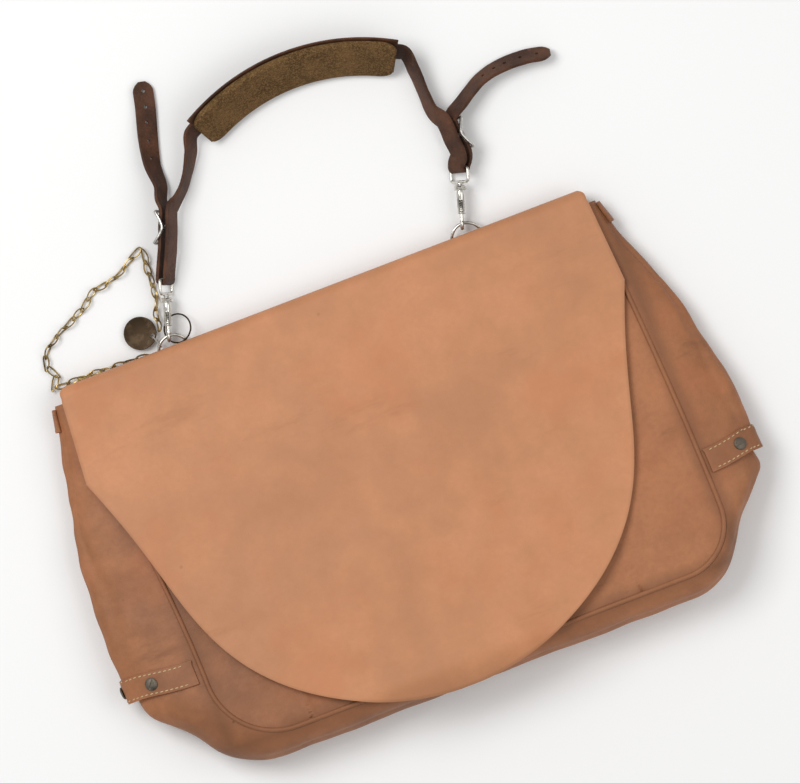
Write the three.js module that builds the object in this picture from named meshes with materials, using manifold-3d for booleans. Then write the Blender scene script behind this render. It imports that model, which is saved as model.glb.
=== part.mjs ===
// Letter carrier's leather satchel, lying on its back with its shoulder strap laid out above it.
// Millimetres, +Z up, +Y towards the shoulder strap, +X to the right seen from above.
// The origin is on the floor, under the middle of the back panel.
// Inside this file y is counted from the fold line of the flap; one group moves it all into place.
import * as THREE from "three";
import { mergeVertices } from "three/addons/utils/BufferGeometryUtils.js";
import Module from "manifold-3d";

const wasm = await Module();
wasm.setup();

// ---- driving dimensions ----

const GAP = 0.3; // between touching pieces
const LEATHER = 2.6; // bag panels, bands
const FLAP_LEATHER = 3.4;

// bag body
const SEAM_DROP = 363; // fold line to bottom seam
const SEAM_WIDTH = 498; // between the side seams above the corners
const MOUTH_WIDTH = 512; // between the side seams at the mouth
const MOUTH_DROP = 10; // fold line to the front panel's mouth edge
const SEAM_SHIFT = 23; // the bag has slumped this far to the right at its corners
const MOUTH_Z = 24; // front seam's height at the mouth
const BOTTOM_Z = 62; // front seam's height at the bottom
const PANEL_DOME = 7; // rise of the front panel's middle
const PIPING_R = 2.3;
const BOTTOM_BULGE = 21; // how far the gusset stands out past the seams
const MOUTH_BULGE = 9.5;
const TUCK = 7; // the bottom gusset's ends sit inside the side gussets by this
const BACK_TOP_DROP = 19; // fold line to the back panel's top edge
const CHAPE_ROOM = 2.2; // the back panel's top edge is lifted by this, over the chapes

const LEFT = { name: "left", dir: -1, corner: 65, bulge: 70, cornerBulge: 34, bandY: -279 };
const RIGHT = { name: "right", dir: 1, corner: 50, bulge: 54, cornerBulge: 14, bandY: -266 };
const BAND_WIDTH = 23;
const BAND_GAP = 0.9; // under the bands, for their bend
const RIVETS_AT = { left: [0.8, 0.46], right: [0.79, 0.28] }; // share of the band's length, from the back
const MOUTH_BAND = [-34, -13]; // from and to, along the side seams
const RIVET_R = 6;
const RIVET_H = 1.8;

// flap
const FLAP_TOP_WIDTH = 518;
const FLAP_WIDTH = 530; // at the kink
const FLAP_KINK = 88; // fold line to the kink
const FLAP_DROP = 384; // fold line to the tip
const FLAP_PINCH = 0.12; // how far the round end is drawn in from an ellipse, below the kink
const FLAP_CLEAR = 0.6; // over the piping
const FLAP_DOME = 9;
const FLAP_DROOP = 60; // radius-like: the tip drops by the square of its overhang over this
const HINGE_ANGLE = 40; // degrees up the fold from level
const HINGE_SLIT = 1.2; // between the sewn root and the moving flap, along the fold
const FOLD_Y = 2.7; // the fold's outermost line, at half thickness
const FOLD_Z = 19;
const ROOT_DROP = 46; // fold line to the root's sewn edge

// rings and chapes
const RING_X = { left: -146, right: 144 };
const RING_R = 14.25; // at the wire's centre
const RING_WIRE = 1.5;
const CHAPE_WIDTH = 14;
const CHAPE_LEATHER = 1.6;
const CHAPE_DROP = 60;
const PIVOT_Y = -12.4; // the ring turns about this line
const PIVOT_Z = 4.5;
const RING_SET = RING_R - 0.92; // pivot to ring centre

// snap hooks
const SNAP_Z = 12.2; // height of the snaps' axes
const SNAP_TURN = { left: 17.5, right: 18 }; // degrees to the right of +Y
const HOOK_R = 4.4; // bow, at the wire's centre
const HOOK_WIRE = 1.8;
const BARREL_R = 3.8;
const BARREL = [9, 31]; // from the ring's wire
const BORE_R = 2.2;
const BORE_END = 28.5;
const COLLAR_R = 6.2;
const COLLAR_END = 35.5;
const BOLT_R = 1.9;
const BOLT = [1.4, 14.5];
const BOLT_TRAVEL = 8;
const KNOB_R = 1.3;
const KNOB_AT = 12;
const KNOB_H = 5.2;
const SPRING_R = 1.5;
const SPRING_WIRE = 0.35;
const SPRING_TURNS = 6;
const EYE_BAR = 52; // ring's wire to the bar that the strap goes round
const EYE_WIRE = 1.5;
const EYE_LENGTH = 13.5;
const POST_R = 2;

// shoulder strap
const STRAP_WIDTH = 19;
const STRAP_LEATHER = 3.2;
const STRAP_CLEAR = 0.9; // beside the strap, in the eyes and buckles
const BEND_R = EYE_WIRE + 0.8 + STRAP_LEATHER / 2; // round the eye's bar
const HOLE_R = 1.6;

// buckles
const BUCKLE_Z = 17.5;
const BUCKLE_LENGTH = 36.4;
const BUCKLE_BAR = 3;
const BUCKLE_THICK = 3;
const CENTRE_BAR = 2.4;
const BUCKLE_TILT = 30; // degrees between each half of the frame and the strap
const LAYER_GAP = 3.8; // strap layers' distance from the centre bar
const BUCKLE_END = 17; // the strap runs straight this far each way from the centre bar
const PRONG_WIDTH = 2.6;
const PRONG_THICK = 2.2;
const PRONG_LENGTH = 19.5;
const PRONG_INNER_R = 2.3;
const PRONG_WRAP = 30; // degrees that the knuckle reaches round the bar
const PRONG_SLOT = { length: 17, at: -1.5 }; // through the strap's tail layer, along from the bar
const ENDS = {
  left: { lean: 65, at: [-111, 107.5], turn: 22, dir: -1 },
  right: { lean: 50, at: [165.5, 91], turn: -3, dir: 1 },
};

// shoulder pad
const PAD_CENTRE = [45, 11.5];
const PAD_R = 190;
const PAD_HALF_ANGLE = 30;
const PAD_LEAN = 55;
const PAD_WIDTH = 46;
const PAD_FELT = 8;
const PAD_BACKING = 2.2;
const PAD_LOOP_WALL = 1.6;
const PAD_LOOP_LENGTH = 14;
const PAD_LOOP_ANGLE = 26.5;
const PAD_Z = 23.7;
const PAD_CLEAR = 0.7;

// key chain, tag and split ring
const CHAIN_R = 3.5;
const TAG_R = 15.5;
const TAG_THICK = 1.4;
const TAG_HOLE_R = 2.2;
const SPLIT_R = 13.4;
const SPLIT_WIRE = 1.1;
const SPLIT_SLOPE = 23; // degrees
const LINK_WIRE = 0.7;

const COLOURS = {
  bag: { color: 0xa5683f, roughness: 0.55 },
  flap: { color: 0xc68c66, roughness: 0.6 },
  strap: { color: 0x46291c, roughness: 0.6 },
  felt: { color: 0x6e5a37, roughness: 0.95 },
  nickel: { color: 0xc9c6bd, roughness: 0.25, metalness: 1 },
  rivet: { color: 0x6f7064, roughness: 0.5, metalness: 0.8 },
  brass: { color: 0x8a7340, roughness: 0.4, metalness: 1 },
  dark: { color: 0x3a2b1c, roughness: 0.5, metalness: 0.7 },
};

// ---- helpers ----

const vec = (x, y, z) => new THREE.Vector3(x, y, z);
const rad = THREE.MathUtils.degToRad;
const lerp = THREE.MathUtils.lerp;
const smooth = THREE.MathUtils.smoothstep;
const UP = vec(0, 0, 1);

const bag = new THREE.Group();
bag.position.y = SEAM_DROP / 2;

const materials = {};
for (const [name, look] of Object.entries(COLOURS)) {
  materials[name] = new THREE.MeshStandardMaterial(look);
}

function add(name, geometry, look, matrix = null) {
  const mesh = new THREE.Mesh(geometry, materials[look]);
  mesh.name = name;
  if (matrix) mesh.applyMatrix4(matrix);
  bag.add(mesh);
}

function merged(geometry) {
  geometry.deleteAttribute("normal");
  geometry.deleteAttribute("uv");
  return mergeVertices(geometry, 1e-4);
}

function toSolid(geometry) {
  const clean = merged(geometry.clone());
  const vertProperties = new Float32Array(clean.attributes.position.array);
  const triVerts = new Uint32Array(clean.index.array);
  return new wasm.Manifold(new wasm.Mesh({ numProp: 3, vertProperties, triVerts }));
}

function toGeometry(solid) {
  const mesh = solid.getMesh();
  const geometry = new THREE.BufferGeometry();
  geometry.setAttribute("position", new THREE.BufferAttribute(mesh.vertProperties, 3));
  geometry.setIndex(new THREE.BufferAttribute(mesh.triVerts, 1));
  return geometry;
}

// A box whose vertices are carried to place(u, v, w), each of u, v and w running from 0 to 1.
function shaped(place, nu, nv, nw = 1) {
  const geometry = merged(new THREE.BoxGeometry(1, 1, 1, nu, nv, nw));
  const at = geometry.attributes.position;
  for (let i = 0; i < at.count; i++) {
    const p = place(at.getX(i) + 0.5, at.getY(i) + 0.5, at.getZ(i) + 0.5);
    at.setXYZ(i, p.x, p.y, p.z);
  }
  return geometry;
}

// The unit normal of surface(u, v), by small steps that stay inside 0 to 1.
function normalOf(surface, u, v) {
  const step = 1e-3;
  const [u0, u1] = [Math.max(0, u - step), Math.min(1, u + step)];
  const [v0, v1] = [Math.max(0, v - step), Math.min(1, v + step)];
  const across = surface(u1, v).sub(surface(u0, v));
  const along = surface(u, v1).sub(surface(u, v0));
  return across.cross(along).normalize();
}

// A sheet of leather whose middle follows surface(u, v), or lies lift above it.
function sheet(surface, thick, nu, nv, lift = 0, facing = normalOf) {
  return shaped((u, v, w) => {
    const offset = lift + (w - 0.5) * thick;
    return surface(u, v).addScaledVector(facing(surface, u, v), offset);
  }, nu, nv);
}

function tube(points, radius, steps, sides = 8) {
  const path = new THREE.CatmullRomCurve3(points, false, "centripetal");
  const section = new THREE.Shape();
  for (let i = 0; i < sides; i++) {
    const a = (i / sides) * 2 * Math.PI;
    const [x, y] = [radius * Math.cos(a), radius * Math.sin(a)];
    if (i) section.lineTo(x, y);
    else section.moveTo(x, y);
  }
  section.closePath();
  return new THREE.ExtrudeGeometry(section, { steps, bevelEnabled: false, extrudePath: path });
}

// A cylinder along +Y, from y0 to y1.
function rod(radius, y0, y1, sides = 16) {
  return new THREE.CylinderGeometry(radius, radius, y1 - y0, sides).translate(0, (y0 + y1) / 2, 0);
}

// A closed wire loop in the XY plane, rounder or squarer with power, made from a torus.
function wireLoop(halfX, halfY, wire, power, steps = 28) {
  const geometry = merged(new THREE.TorusGeometry(1, 0.5, 6, steps));
  const at = geometry.attributes.position;
  for (let i = 0; i < at.count; i++) {
    const [x, y] = [at.getX(i), at.getY(i)];
    const a = Math.atan2(y, x);
    const out = (Math.hypot(x, y) - 1) / 0.5;
    const [c, s] = [Math.cos(a), Math.sin(a)];
    const [cp, sp] = [Math.sign(c) * Math.abs(c) ** power, Math.sign(s) * Math.abs(s) ** power];
    const normal = new THREE.Vector2(cp * halfY, sp * halfX).normalize();
    at.setXYZ(
      i,
      cp * halfX + normal.x * out * wire,
      sp * halfY + normal.y * out * wire,
      (at.getZ(i) / 0.5) * wire,
    );
  }
  return geometry;
}

function basis(x, y, z, origin) {
  return new THREE.Matrix4().makeBasis(x, y, z).setPosition(origin);
}

// ---- the bag's seams ----

// A seam runs from the bottom's middle (0) along the bottom, round a corner and up a side (1).
const BOTTOM_END = 0.3;
const CORNER_END = 0.5;

// Steps along a seam, the same on every piece that meets it: bottom, corner and side.
const SEAM_STEPS = { bottom: 4, corner: 8, side: 8 };
const HALF_STEPS = SEAM_STEPS.bottom + SEAM_STEPS.corner + SEAM_STEPS.side;

function seamShare(step) {
  const { bottom, corner, side } = SEAM_STEPS;
  if (step <= bottom) return (BOTTOM_END * step) / bottom;
  const round = step - bottom;
  if (round <= corner) return lerp(BOTTOM_END, CORNER_END, round / corner);
  return lerp(CORNER_END, 1, (round - corner) / side);
}

// The seam's place and outward direction, moved outwards by out.
function seam(side, m, out = 0) {
  const cx = SEAM_SHIFT + side.dir * (SEAM_WIDTH / 2 - side.corner);
  const cy = -SEAM_DROP + side.corner;
  if (m < BOTTOM_END) {
    const at = vec(lerp(SEAM_SHIFT, cx, m / BOTTOM_END), -SEAM_DROP - out, 0);
    return { at, away: vec(0, -1, 0) };
  }
  if (m < CORNER_END) {
    const a = (((m - BOTTOM_END) / (CORNER_END - BOTTOM_END)) * Math.PI) / 2;
    const away = vec(side.dir * Math.sin(a), -Math.cos(a), 0);
    return { at: vec(cx, cy, 0).addScaledVector(away, side.corner + out), away };
  }
  const k = (m - CORNER_END) / (1 - CORNER_END);
  const corner = SEAM_SHIFT + (side.dir * SEAM_WIDTH) / 2;
  const x = lerp(corner, (side.dir * MOUTH_WIDTH) / 2, k ** 1.6);
  return { at: vec(x + side.dir * out, lerp(cy, -MOUTH_DROP, k), 0), away: vec(side.dir, 0, 0) };
}

// How far along the seam a place at height y on its side is.
function alongSide(side, y) {
  const corner = -SEAM_DROP + side.corner;
  return lerp(CORNER_END, 1, (y - corner) / (-MOUTH_DROP - corner));
}

function frontZ(y) {
  const share = THREE.MathUtils.clamp((-y - MOUTH_DROP) / (SEAM_DROP - MOUTH_DROP), 0, 1);
  return lerp(MOUTH_Z, BOTTOM_Z, share);
}

function backLift(y) {
  return CHAPE_ROOM * smooth(y, -118, -82);
}

function frontSeam(side, m, out = 0) {
  const place = seam(side, m, out).at;
  place.z = frontZ(seam(side, m).at.y);
  return place;
}

function backSeam(side, m, out = 0) {
  const place = seam(side, m, out).at;
  place.z = PIPING_R + GAP + backLift(seam(side, m).at.y);
  return place;
}

// The lower edge of the corner band.
function bandEndAt(side) {
  return alongSide(side, side.bandY - BAND_WIDTH / 2);
}

// How far the gusset stands out past the seams: most above the corner band, little below it.
function bulge(side, m) {
  const down = Math.min(1, (1 - m) / (1 - CORNER_END) / 0.8);
  const above = lerp(MOUTH_BULGE, side.bulge, Math.sin((down * Math.PI) / 2));
  const middle = lerp(BOTTOM_END, CORNER_END, 0.6);
  const below = lerp(BOTTOM_BULGE, side.cornerBulge, smooth(m, BOTTOM_END, middle));
  return lerp(below, above, smooth(m, middle, bandEndAt(side)) ** 2);
}

// The gusset between the back seam (v = 0) and the front seam (v = 1), a C in section.
function gussetAt(side, m, v, tuck = 0) {
  const edge = PIPING_R + GAP;
  const [low, high] = [backSeam(side, m, edge), frontSeam(side, m, edge)];
  const reach = (bulge(side, m) - edge - tuck) * 1.36;
  const away = seam(side, m).away;
  const drop = (high.z - low.z) * 0.16;
  const curve = new THREE.CubicBezierCurve3(
    low,
    low.clone().addScaledVector(away, reach).add(vec(0, 0, drop)),
    high.clone().addScaledVector(away, reach).sub(vec(0, 0, drop)),
    high,
  );
  return curve.getPoint(v);
}

// ---- bag panels ----

const EDGE = PIPING_R + GAP;
const PANEL_STEPS = HALF_STEPS - SEAM_STEPS.bottom;

function backPanel() {
  const surface = (u, v) => {
    const m = seamShare(SEAM_STEPS.bottom + v * PANEL_STEPS);
    const [a, b] = [LEFT, RIGHT].map((side) => {
      const top = alongSide(side, -BACK_TOP_DROP);
      return seam(side, Math.min(m, top), -EDGE).at;
    });
    const p = a.lerp(b, u);
    p.z = LEATHER / 2 + backLift(p.y);
    return p;
  };
  return sheet(surface, LEATHER, 4, PANEL_STEPS, 0, () => UP);
}

function frontPanel() {
  const surface = (u, v) => {
    const m = seamShare(SEAM_STEPS.bottom + v * PANEL_STEPS);
    const [a, b] = [LEFT, RIGHT].map((side) => frontSeam(side, m, -EDGE));
    const p = a.lerp(b, u);
    const down = (-p.y - MOUTH_DROP) / (SEAM_DROP - MOUTH_DROP);
    const across = 1 - (2 * u - 1) ** 2;
    p.z += PANEL_DOME * across * Math.sin(Math.PI * THREE.MathUtils.clamp(down, 0, 0.95));
    return p;
  };
  return sheet(surface, LEATHER, 8, PANEL_STEPS, 0, () => UP);
}

// A round cord along a whole seam, from the left mouth to the right mouth.
function piping(place) {
  return shaped((u, v, w) => {
    const step = (2 * u - 1) * HALF_STEPS;
    const side = step < 0 ? LEFT : RIGHT;
    const m = seamShare(Math.abs(step));
    const square = new THREE.Vector2(v - 0.5, 0.5 - w);
    const reach = 2 * PIPING_R * Math.max(Math.abs(square.x), Math.abs(square.y));
    square.setLength(square.length() ? reach : 0);
    const at = place(side, m).addScaledVector(seam(side, m).away, square.x);
    return at.addScaledVector(UP, square.y);
  }, 2 * HALF_STEPS, 2, 2);
}

// The side gusset ends part way down the corner band, which covers the joint.
function jointAt(side) {
  return alongSide(side, side.bandY - BAND_WIDTH / 6);
}

function sideGusset(side) {
  const from = jointAt(side) + 0.004;
  const surface = (u, v) => gussetAt(side, lerp(from, 1, side.dir < 0 ? 1 - u : u), v);
  return sheet(surface, LEATHER, 8, 8);
}

function bottomGusset() {
  const toCorner = SEAM_STEPS.bottom + SEAM_STEPS.corner;
  const surface = (u, v) => {
    const step = (2 * u - 1) * (toCorner + 1);
    const side = step < 0 ? LEFT : RIGHT;
    const past = Math.abs(step) - toCorner;
    const end = jointAt(side) - 0.004;
    const m = past > 0 ? lerp(CORNER_END, end, past) : seamShare(Math.abs(step));
    const bandEnd = bandEndAt(side);
    return gussetAt(side, m, v, TUCK * smooth(m, bandEnd - 0.03, bandEnd));
  };
  return sheet(surface, LEATHER, 2 * toCorner + 2, 8);
}

function bandOver(side, y0, y1, v0, v1) {
  const [m0, m1] = [alongSide(side, y0), alongSide(side, y1)];
  return (u, v) => gussetAt(side, lerp(m0, m1, side.dir < 0 ? 1 - u : u), lerp(v0, v1, v));
}

function cornerBandSurface(side) {
  return bandOver(side, side.bandY - BAND_WIDTH / 2, side.bandY + BAND_WIDTH / 2, 0.1, 0.97);
}

function rivetOn(side, v) {
  const surface = cornerBandSurface(side);
  const normal = normalOf(surface, 0.5, v);
  const place = surface(0.5, v).addScaledVector(normal, LEATHER * 1.5 + BAND_GAP + 2 * GAP + RIVET_H / 2);
  const turn = new THREE.Quaternion().setFromUnitVectors(vec(0, 1, 0), normal);
  return new THREE.Matrix4().compose(place, turn, vec(1, 1, 1));
}

add("back_panel", backPanel(), "bag");
add("front_panel", frontPanel(), "bag");
add("front_piping", piping(frontSeam), "bag");
add("back_piping", piping(backSeam), "bag");
add("gusset_bottom", bottomGusset(), "bag");
for (const side of [LEFT, RIGHT]) {
  add(`gusset_${side.name}`, sideGusset(side), "bag");
  const onTop = LEATHER + BAND_GAP;
  add(`corner_band_${side.name}`, sheet(cornerBandSurface(side), LEATHER, 2, 12, onTop), "bag");
  const mouth = bandOver(side, ...MOUTH_BAND, 0.14, 0.7);
  add(`mouth_band_${side.name}`, sheet(mouth, LEATHER, 2, 6, onTop), "bag");
  const [front, back] = RIVETS_AT[side.name];
  for (const [place, v] of [["front", front], ["back", back]]) {
    const head = new THREE.CylinderGeometry(RIVET_R * 0.85, RIVET_R, RIVET_H, 12);
    add(`band_rivet_${side.name}_${place}`, head, "rivet", rivetOn(side, v));
  }
}

// ---- flap ----

const FOLD_TOP = MOUTH_Z + PIPING_R + FLAP_CLEAR + FLAP_LEATHER / 2;
const FOLD_R = FOLD_TOP - FOLD_Z;
const FOLD_CENTRE_Y = FOLD_Y - FOLD_R;

// Half the flap's width at a drop below the fold line.
function flapHalf(drop) {
  if (drop < FLAP_KINK) return lerp(FLAP_TOP_WIDTH, FLAP_WIDTH, Math.max(0, drop) / FLAP_KINK) / 2;
  const t = (drop - FLAP_KINK) / (FLAP_DROP - FLAP_KINK);
  const share = Math.min(1, t / 0.85);
  const pinch = FLAP_PINCH * Math.sin(Math.PI * share) * (1 - share);
  return ((Math.sqrt(1 - t * t) - pinch) * FLAP_WIDTH) / 2;
}

// The flap's half-thickness surface over the front of the bag.
function flapZ(x, y) {
  const side = 1 - (x / (FLAP_WIDTH / 2)) ** 2;
  const dome = FLAP_DOME * side * smooth(-y, -FOLD_CENTRE_Y, 140);
  const over = Math.max(0, -y - SEAM_DROP + 6);
  return frontZ(y) + PIPING_R + FLAP_CLEAR + FLAP_LEATHER / 2 + dome - over ** 2 / FLAP_DROOP;
}

// Rows down the flap: round the fold, down the straight sides, then round the end.
function flapRow(v) {
  const [foldShare, kinkShare] = [0.1, 0.35];
  if (v < foldShare) {
    const a = rad(lerp(HINGE_ANGLE, 90, v / foldShare));
    return { y: FOLD_CENTRE_Y + FOLD_R * Math.cos(a), z: FOLD_Z + FOLD_R * Math.sin(a) };
  }
  if (v < kinkShare) {
    const k = (v - foldShare) / (kinkShare - foldShare);
    return { y: lerp(FOLD_CENTRE_Y, -FLAP_KINK, k) };
  }
  const a = rad(((v - kinkShare) / (1 - kinkShare)) * 86.5);
  return { y: -lerp(FLAP_KINK, FLAP_DROP, Math.sin(a)) };
}

function flap() {
  const surface = (u, v) => {
    const row = flapRow(1 - v);
    const x = (2 * u - 1) * flapHalf(-row.y);
    return vec(x, row.y, row.z ?? flapZ(x, row.y));
  };
  return sheet(surface, FLAP_LEATHER, 10, 20);
}

// The sewn root: flat on the back panel, up over the rings and round the fold.
function flapRoot() {
  const sewnZ = CHAPE_ROOM + LEATHER + GAP + FLAP_LEATHER / 2;
  const end = rad(HINGE_ANGLE) - HINGE_SLIT / FOLD_R;
  const onFold = (a) => vec(0, FOLD_CENTRE_Y + FOLD_R * Math.cos(a), FOLD_Z + FOLD_R * Math.sin(a));
  const line = new THREE.CatmullRomCurve3([
    vec(0, -ROOT_DROP, sewnZ),
    vec(0, -34, sewnZ),
    vec(0, -25, sewnZ + 1),
    vec(0, -15, sewnZ + 4.6),
    vec(0, -5, sewnZ + 7.9),
    onFold(-0.2),
    onFold(end),
  ]);
  const surface = (u, v) => {
    const p = line.getPoint(v);
    p.x = (u - 0.5) * (FLAP_TOP_WIDTH - lerp(30, 12, v));
    return p;
  };
  return sheet(surface, FLAP_LEATHER, 2, 16);
}

add("flap", flap(), "flap");
add("flap_root", flapRoot(), "flap");

// ---- rings and chapes ----

const RING_TILT = Math.asin((SNAP_Z - PIVOT_Z) / (RING_SET + RING_R));
const RING_FAR_Y = PIVOT_Y + (RING_SET + RING_R) * Math.cos(RING_TILT);

function ringMatrix(x) {
  const along = vec(0, Math.cos(RING_TILT), Math.sin(RING_TILT));
  const centre = vec(x, PIVOT_Y, PIVOT_Z).addScaledVector(along, RING_SET);
  return basis(vec(1, 0, 0), along, vec(1, 0, 0).cross(along), centre);
}

// A leather strip under the back panel's top edge, turned up round the ring's wire.
function chape() {
  const mid = PIVOT_Z - CHAPE_LEATHER / 2 - 0.15;
  const [outer, inner] = [mid + CHAPE_LEATHER / 2, mid - CHAPE_LEATHER / 2];
  const lip = PIVOT_Y - 1.2;
  const section = new THREE.Shape();
  section.moveTo(-CHAPE_DROP, PIVOT_Z - outer);
  section.lineTo(PIVOT_Y, PIVOT_Z - outer);
  section.absarc(PIVOT_Y, PIVOT_Z, outer, -Math.PI / 2, Math.PI / 2, false);
  section.lineTo(lip, PIVOT_Z + outer);
  section.lineTo(lip, PIVOT_Z + inner);
  section.lineTo(PIVOT_Y, PIVOT_Z + inner);
  section.absarc(PIVOT_Y, PIVOT_Z, inner, Math.PI / 2, -Math.PI / 2, true);
  section.lineTo(-CHAPE_DROP, PIVOT_Z - inner);
  section.closePath();
  const options = { depth: CHAPE_WIDTH, bevelEnabled: false, curveSegments: 8 };
  return new THREE.ExtrudeGeometry(section, options);
}

for (const name of ["left", "right"]) {
  const x = RING_X[name];
  add(`ring_${name}`, merged(new THREE.TorusGeometry(RING_R, RING_WIRE, 8, 24)), "nickel", ringMatrix(x));
  const across = basis(vec(0, 1, 0), UP, vec(1, 0, 0), vec(x - CHAPE_WIDTH / 2, 0, 0));
  add(`ring_chape_${name}`, chape(), "bag", across);
  const head = new THREE.CylinderGeometry(3.6, 4.4, RIVET_H, 12).rotateX(Math.PI / 2);
  const onPanel = CHAPE_ROOM + LEATHER + GAP + RIVET_H / 2;
  const place = vec(x, -ROOT_DROP - 7, onPanel);
  add(`chape_rivet_${name}`, head, "rivet", new THREE.Matrix4().setPosition(place));
}

// ---- snap hooks: x across, y along the snap from the ring's wire, z up ----

function snapMatrix(name) {
  const turn = rad(SNAP_TURN[name]);
  const along = vec(Math.sin(turn), Math.cos(turn), 0);
  const across = vec(Math.cos(turn), -Math.sin(turn), 0);
  return basis(across, along, UP, vec(RING_X[name], RING_FAR_Y, SNAP_Z));
}

function snapBody() {
  const bow = [vec(0, COLLAR_END - 3, -HOOK_R), vec(0, 20, -HOOK_R), vec(0, 8, -HOOK_R)];
  for (let i = 0; i <= 8; i++) {
    const a = (i / 8) * Math.PI;
    bow.push(vec(0, -HOOK_R * Math.sin(a), -HOOK_R * Math.cos(a)));
  }
  bow.push(vec(0, 1, HOOK_R));
  const hook = toSolid(tube(bow, HOOK_WIRE, 30));
  const barrel = toSolid(rod(BARREL_R, ...BARREL).translate(0, 0, HOOK_R));
  const collar = toSolid(rod(COLLAR_R, BARREL[1] - 0.5, COLLAR_END, 20));
  const bore = toSolid(rod(BORE_R, BARREL[0] - 1, BORE_END, 12).translate(0, 0, HOOK_R));
  const socket = toSolid(rod(POST_R + GAP, BARREL[1] + 0.8, COLLAR_END + 1, 12));
  const slotFrom = KNOB_AT - KNOB_R - 0.5;
  const slotLength = BOLT_TRAVEL + 2 * KNOB_R + 1;
  const slot = toSolid(
    new THREE.BoxGeometry(2 * KNOB_R + 0.6, slotLength, 2 * BARREL_R)
      .translate(0, slotFrom + slotLength / 2, HOOK_R + BARREL_R),
  );
  const outside = hook.add(barrel).add(collar);
  return toGeometry(outside.subtract(bore).subtract(socket).subtract(slot));
}

function snapBolt() {
  const shaft = toSolid(rod(BOLT_R, ...BOLT, 12).translate(0, 0, HOOK_R));
  const knob = toSolid(rod(KNOB_R, 0, KNOB_H, 10).rotateX(Math.PI / 2).translate(0, KNOB_AT, HOOK_R));
  return toGeometry(shaft.add(knob));
}

function snapSpring() {
  const points = [];
  const [from, to] = [BOLT[1] + 0.7, BORE_END - 0.7];
  const perTurn = 6;
  const count = SPRING_TURNS * perTurn;
  for (let i = 0; i <= count; i++) {
    const a = (i / perTurn) * 2 * Math.PI;
    const y = lerp(from, to, i / count);
    points.push(vec(SPRING_R * Math.cos(a), y, HOOK_R + SPRING_R * Math.sin(a)));
  }
  return tube(points, SPRING_WIRE, count, 4);
}

function widthOf(end) {
  return vec(end.dir * Math.cos(rad(end.lean)), 0, Math.sin(rad(end.lean)));
}

function snapEye(name) {
  const half = STRAP_WIDTH / 2 + STRAP_CLEAR + EYE_WIRE;
  const width = widthOf(ENDS[name]);
  const along = vec(0, 1, 0);
  const centre = vec(0, EYE_BAR - EYE_LENGTH / 2, 0);
  const loop = wireLoop(half, EYE_LENGTH / 2, EYE_WIRE, 0.2);
  loop.applyMatrix4(basis(width, along, width.clone().cross(along), centre));
  const post = toSolid(rod(POST_R, BARREL[1] + 1.2, EYE_BAR - EYE_LENGTH, 12));
  return toGeometry(toSolid(loop).add(post));
}

for (const name of ["left", "right"]) {
  const matrix = snapMatrix(name);
  add(`snap_body_${name}`, snapBody(), "nickel", matrix);
  add(`snap_bolt_${name}`, snapBolt(), "nickel", matrix);
  add(`snap_spring_${name}`, snapSpring(), "nickel", matrix);
  add(`snap_eye_${name}`, snapEye(name), "nickel", matrix);
}

// ---- buckles: x across the strap, y along the frame, z out of the frame on the tail's side ----

// The strap's directions at one of its ends: along it, across it and square to its face.
function strapAxes(end, turn) {
  const along = vec(Math.sin(turn), Math.cos(turn), 0);
  const side = vec(end.dir * Math.cos(turn), -end.dir * Math.sin(turn), 0);
  const lean = rad(end.lean);
  const width = side.clone().multiplyScalar(Math.cos(lean)).addScaledVector(UP, Math.sin(lean));
  const inside = side.clone().multiplyScalar(-Math.sin(lean)).addScaledVector(UP, Math.cos(lean));
  return { along, width, inside };
}

function strapFrame(name) {
  const end = ENDS[name];
  return { ...strapAxes(end, rad(end.turn)), centre: vec(...end.at, BUCKLE_Z) };
}

function buckleMatrix(name) {
  const { along, inside, centre } = strapFrame(name);
  const tilt = rad(BUCKLE_TILT);
  const up = along.clone().multiplyScalar(Math.cos(tilt)).addScaledVector(inside, Math.sin(tilt));
  const out = inside.clone().multiplyScalar(-Math.cos(tilt)).addScaledVector(along, Math.sin(tilt));
  return basis(up.clone().cross(out), up, out, centre);
}

// Two flat halves that meet at the centre bar and both lean towards the tail's side.
function buckleFrame() {
  const halfX = STRAP_WIDTH / 2 + STRAP_CLEAR;
  const halfY = BUCKLE_LENGTH / 2 - BUCKLE_BAR;
  const rect = (shape, x0, y0, x1, y1) => {
    shape.moveTo(x0, y0);
    shape.lineTo(x1, y0);
    shape.lineTo(x1, y1);
    shape.lineTo(x0, y1);
    shape.closePath();
    return shape;
  };
  const [outX, outY] = [halfX + BUCKLE_BAR, halfY + BUCKLE_BAR];
  const plate = rect(new THREE.Shape(), -outX, -CENTRE_BAR / 2, outX, outY);
  plate.holes.push(rect(new THREE.Path(), -halfX, CENTRE_BAR / 2, halfX, halfY));
  const half = new THREE.ExtrudeGeometry(plate, { depth: BUCKLE_THICK, bevelEnabled: false });
  half.translate(0, 0, -BUCKLE_THICK / 2);
  const upper = toSolid(half.clone().rotateX(rad(2 * BUCKLE_TILT)));
  return toGeometry(upper.add(toSolid(half.rotateZ(Math.PI))));
}

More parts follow.
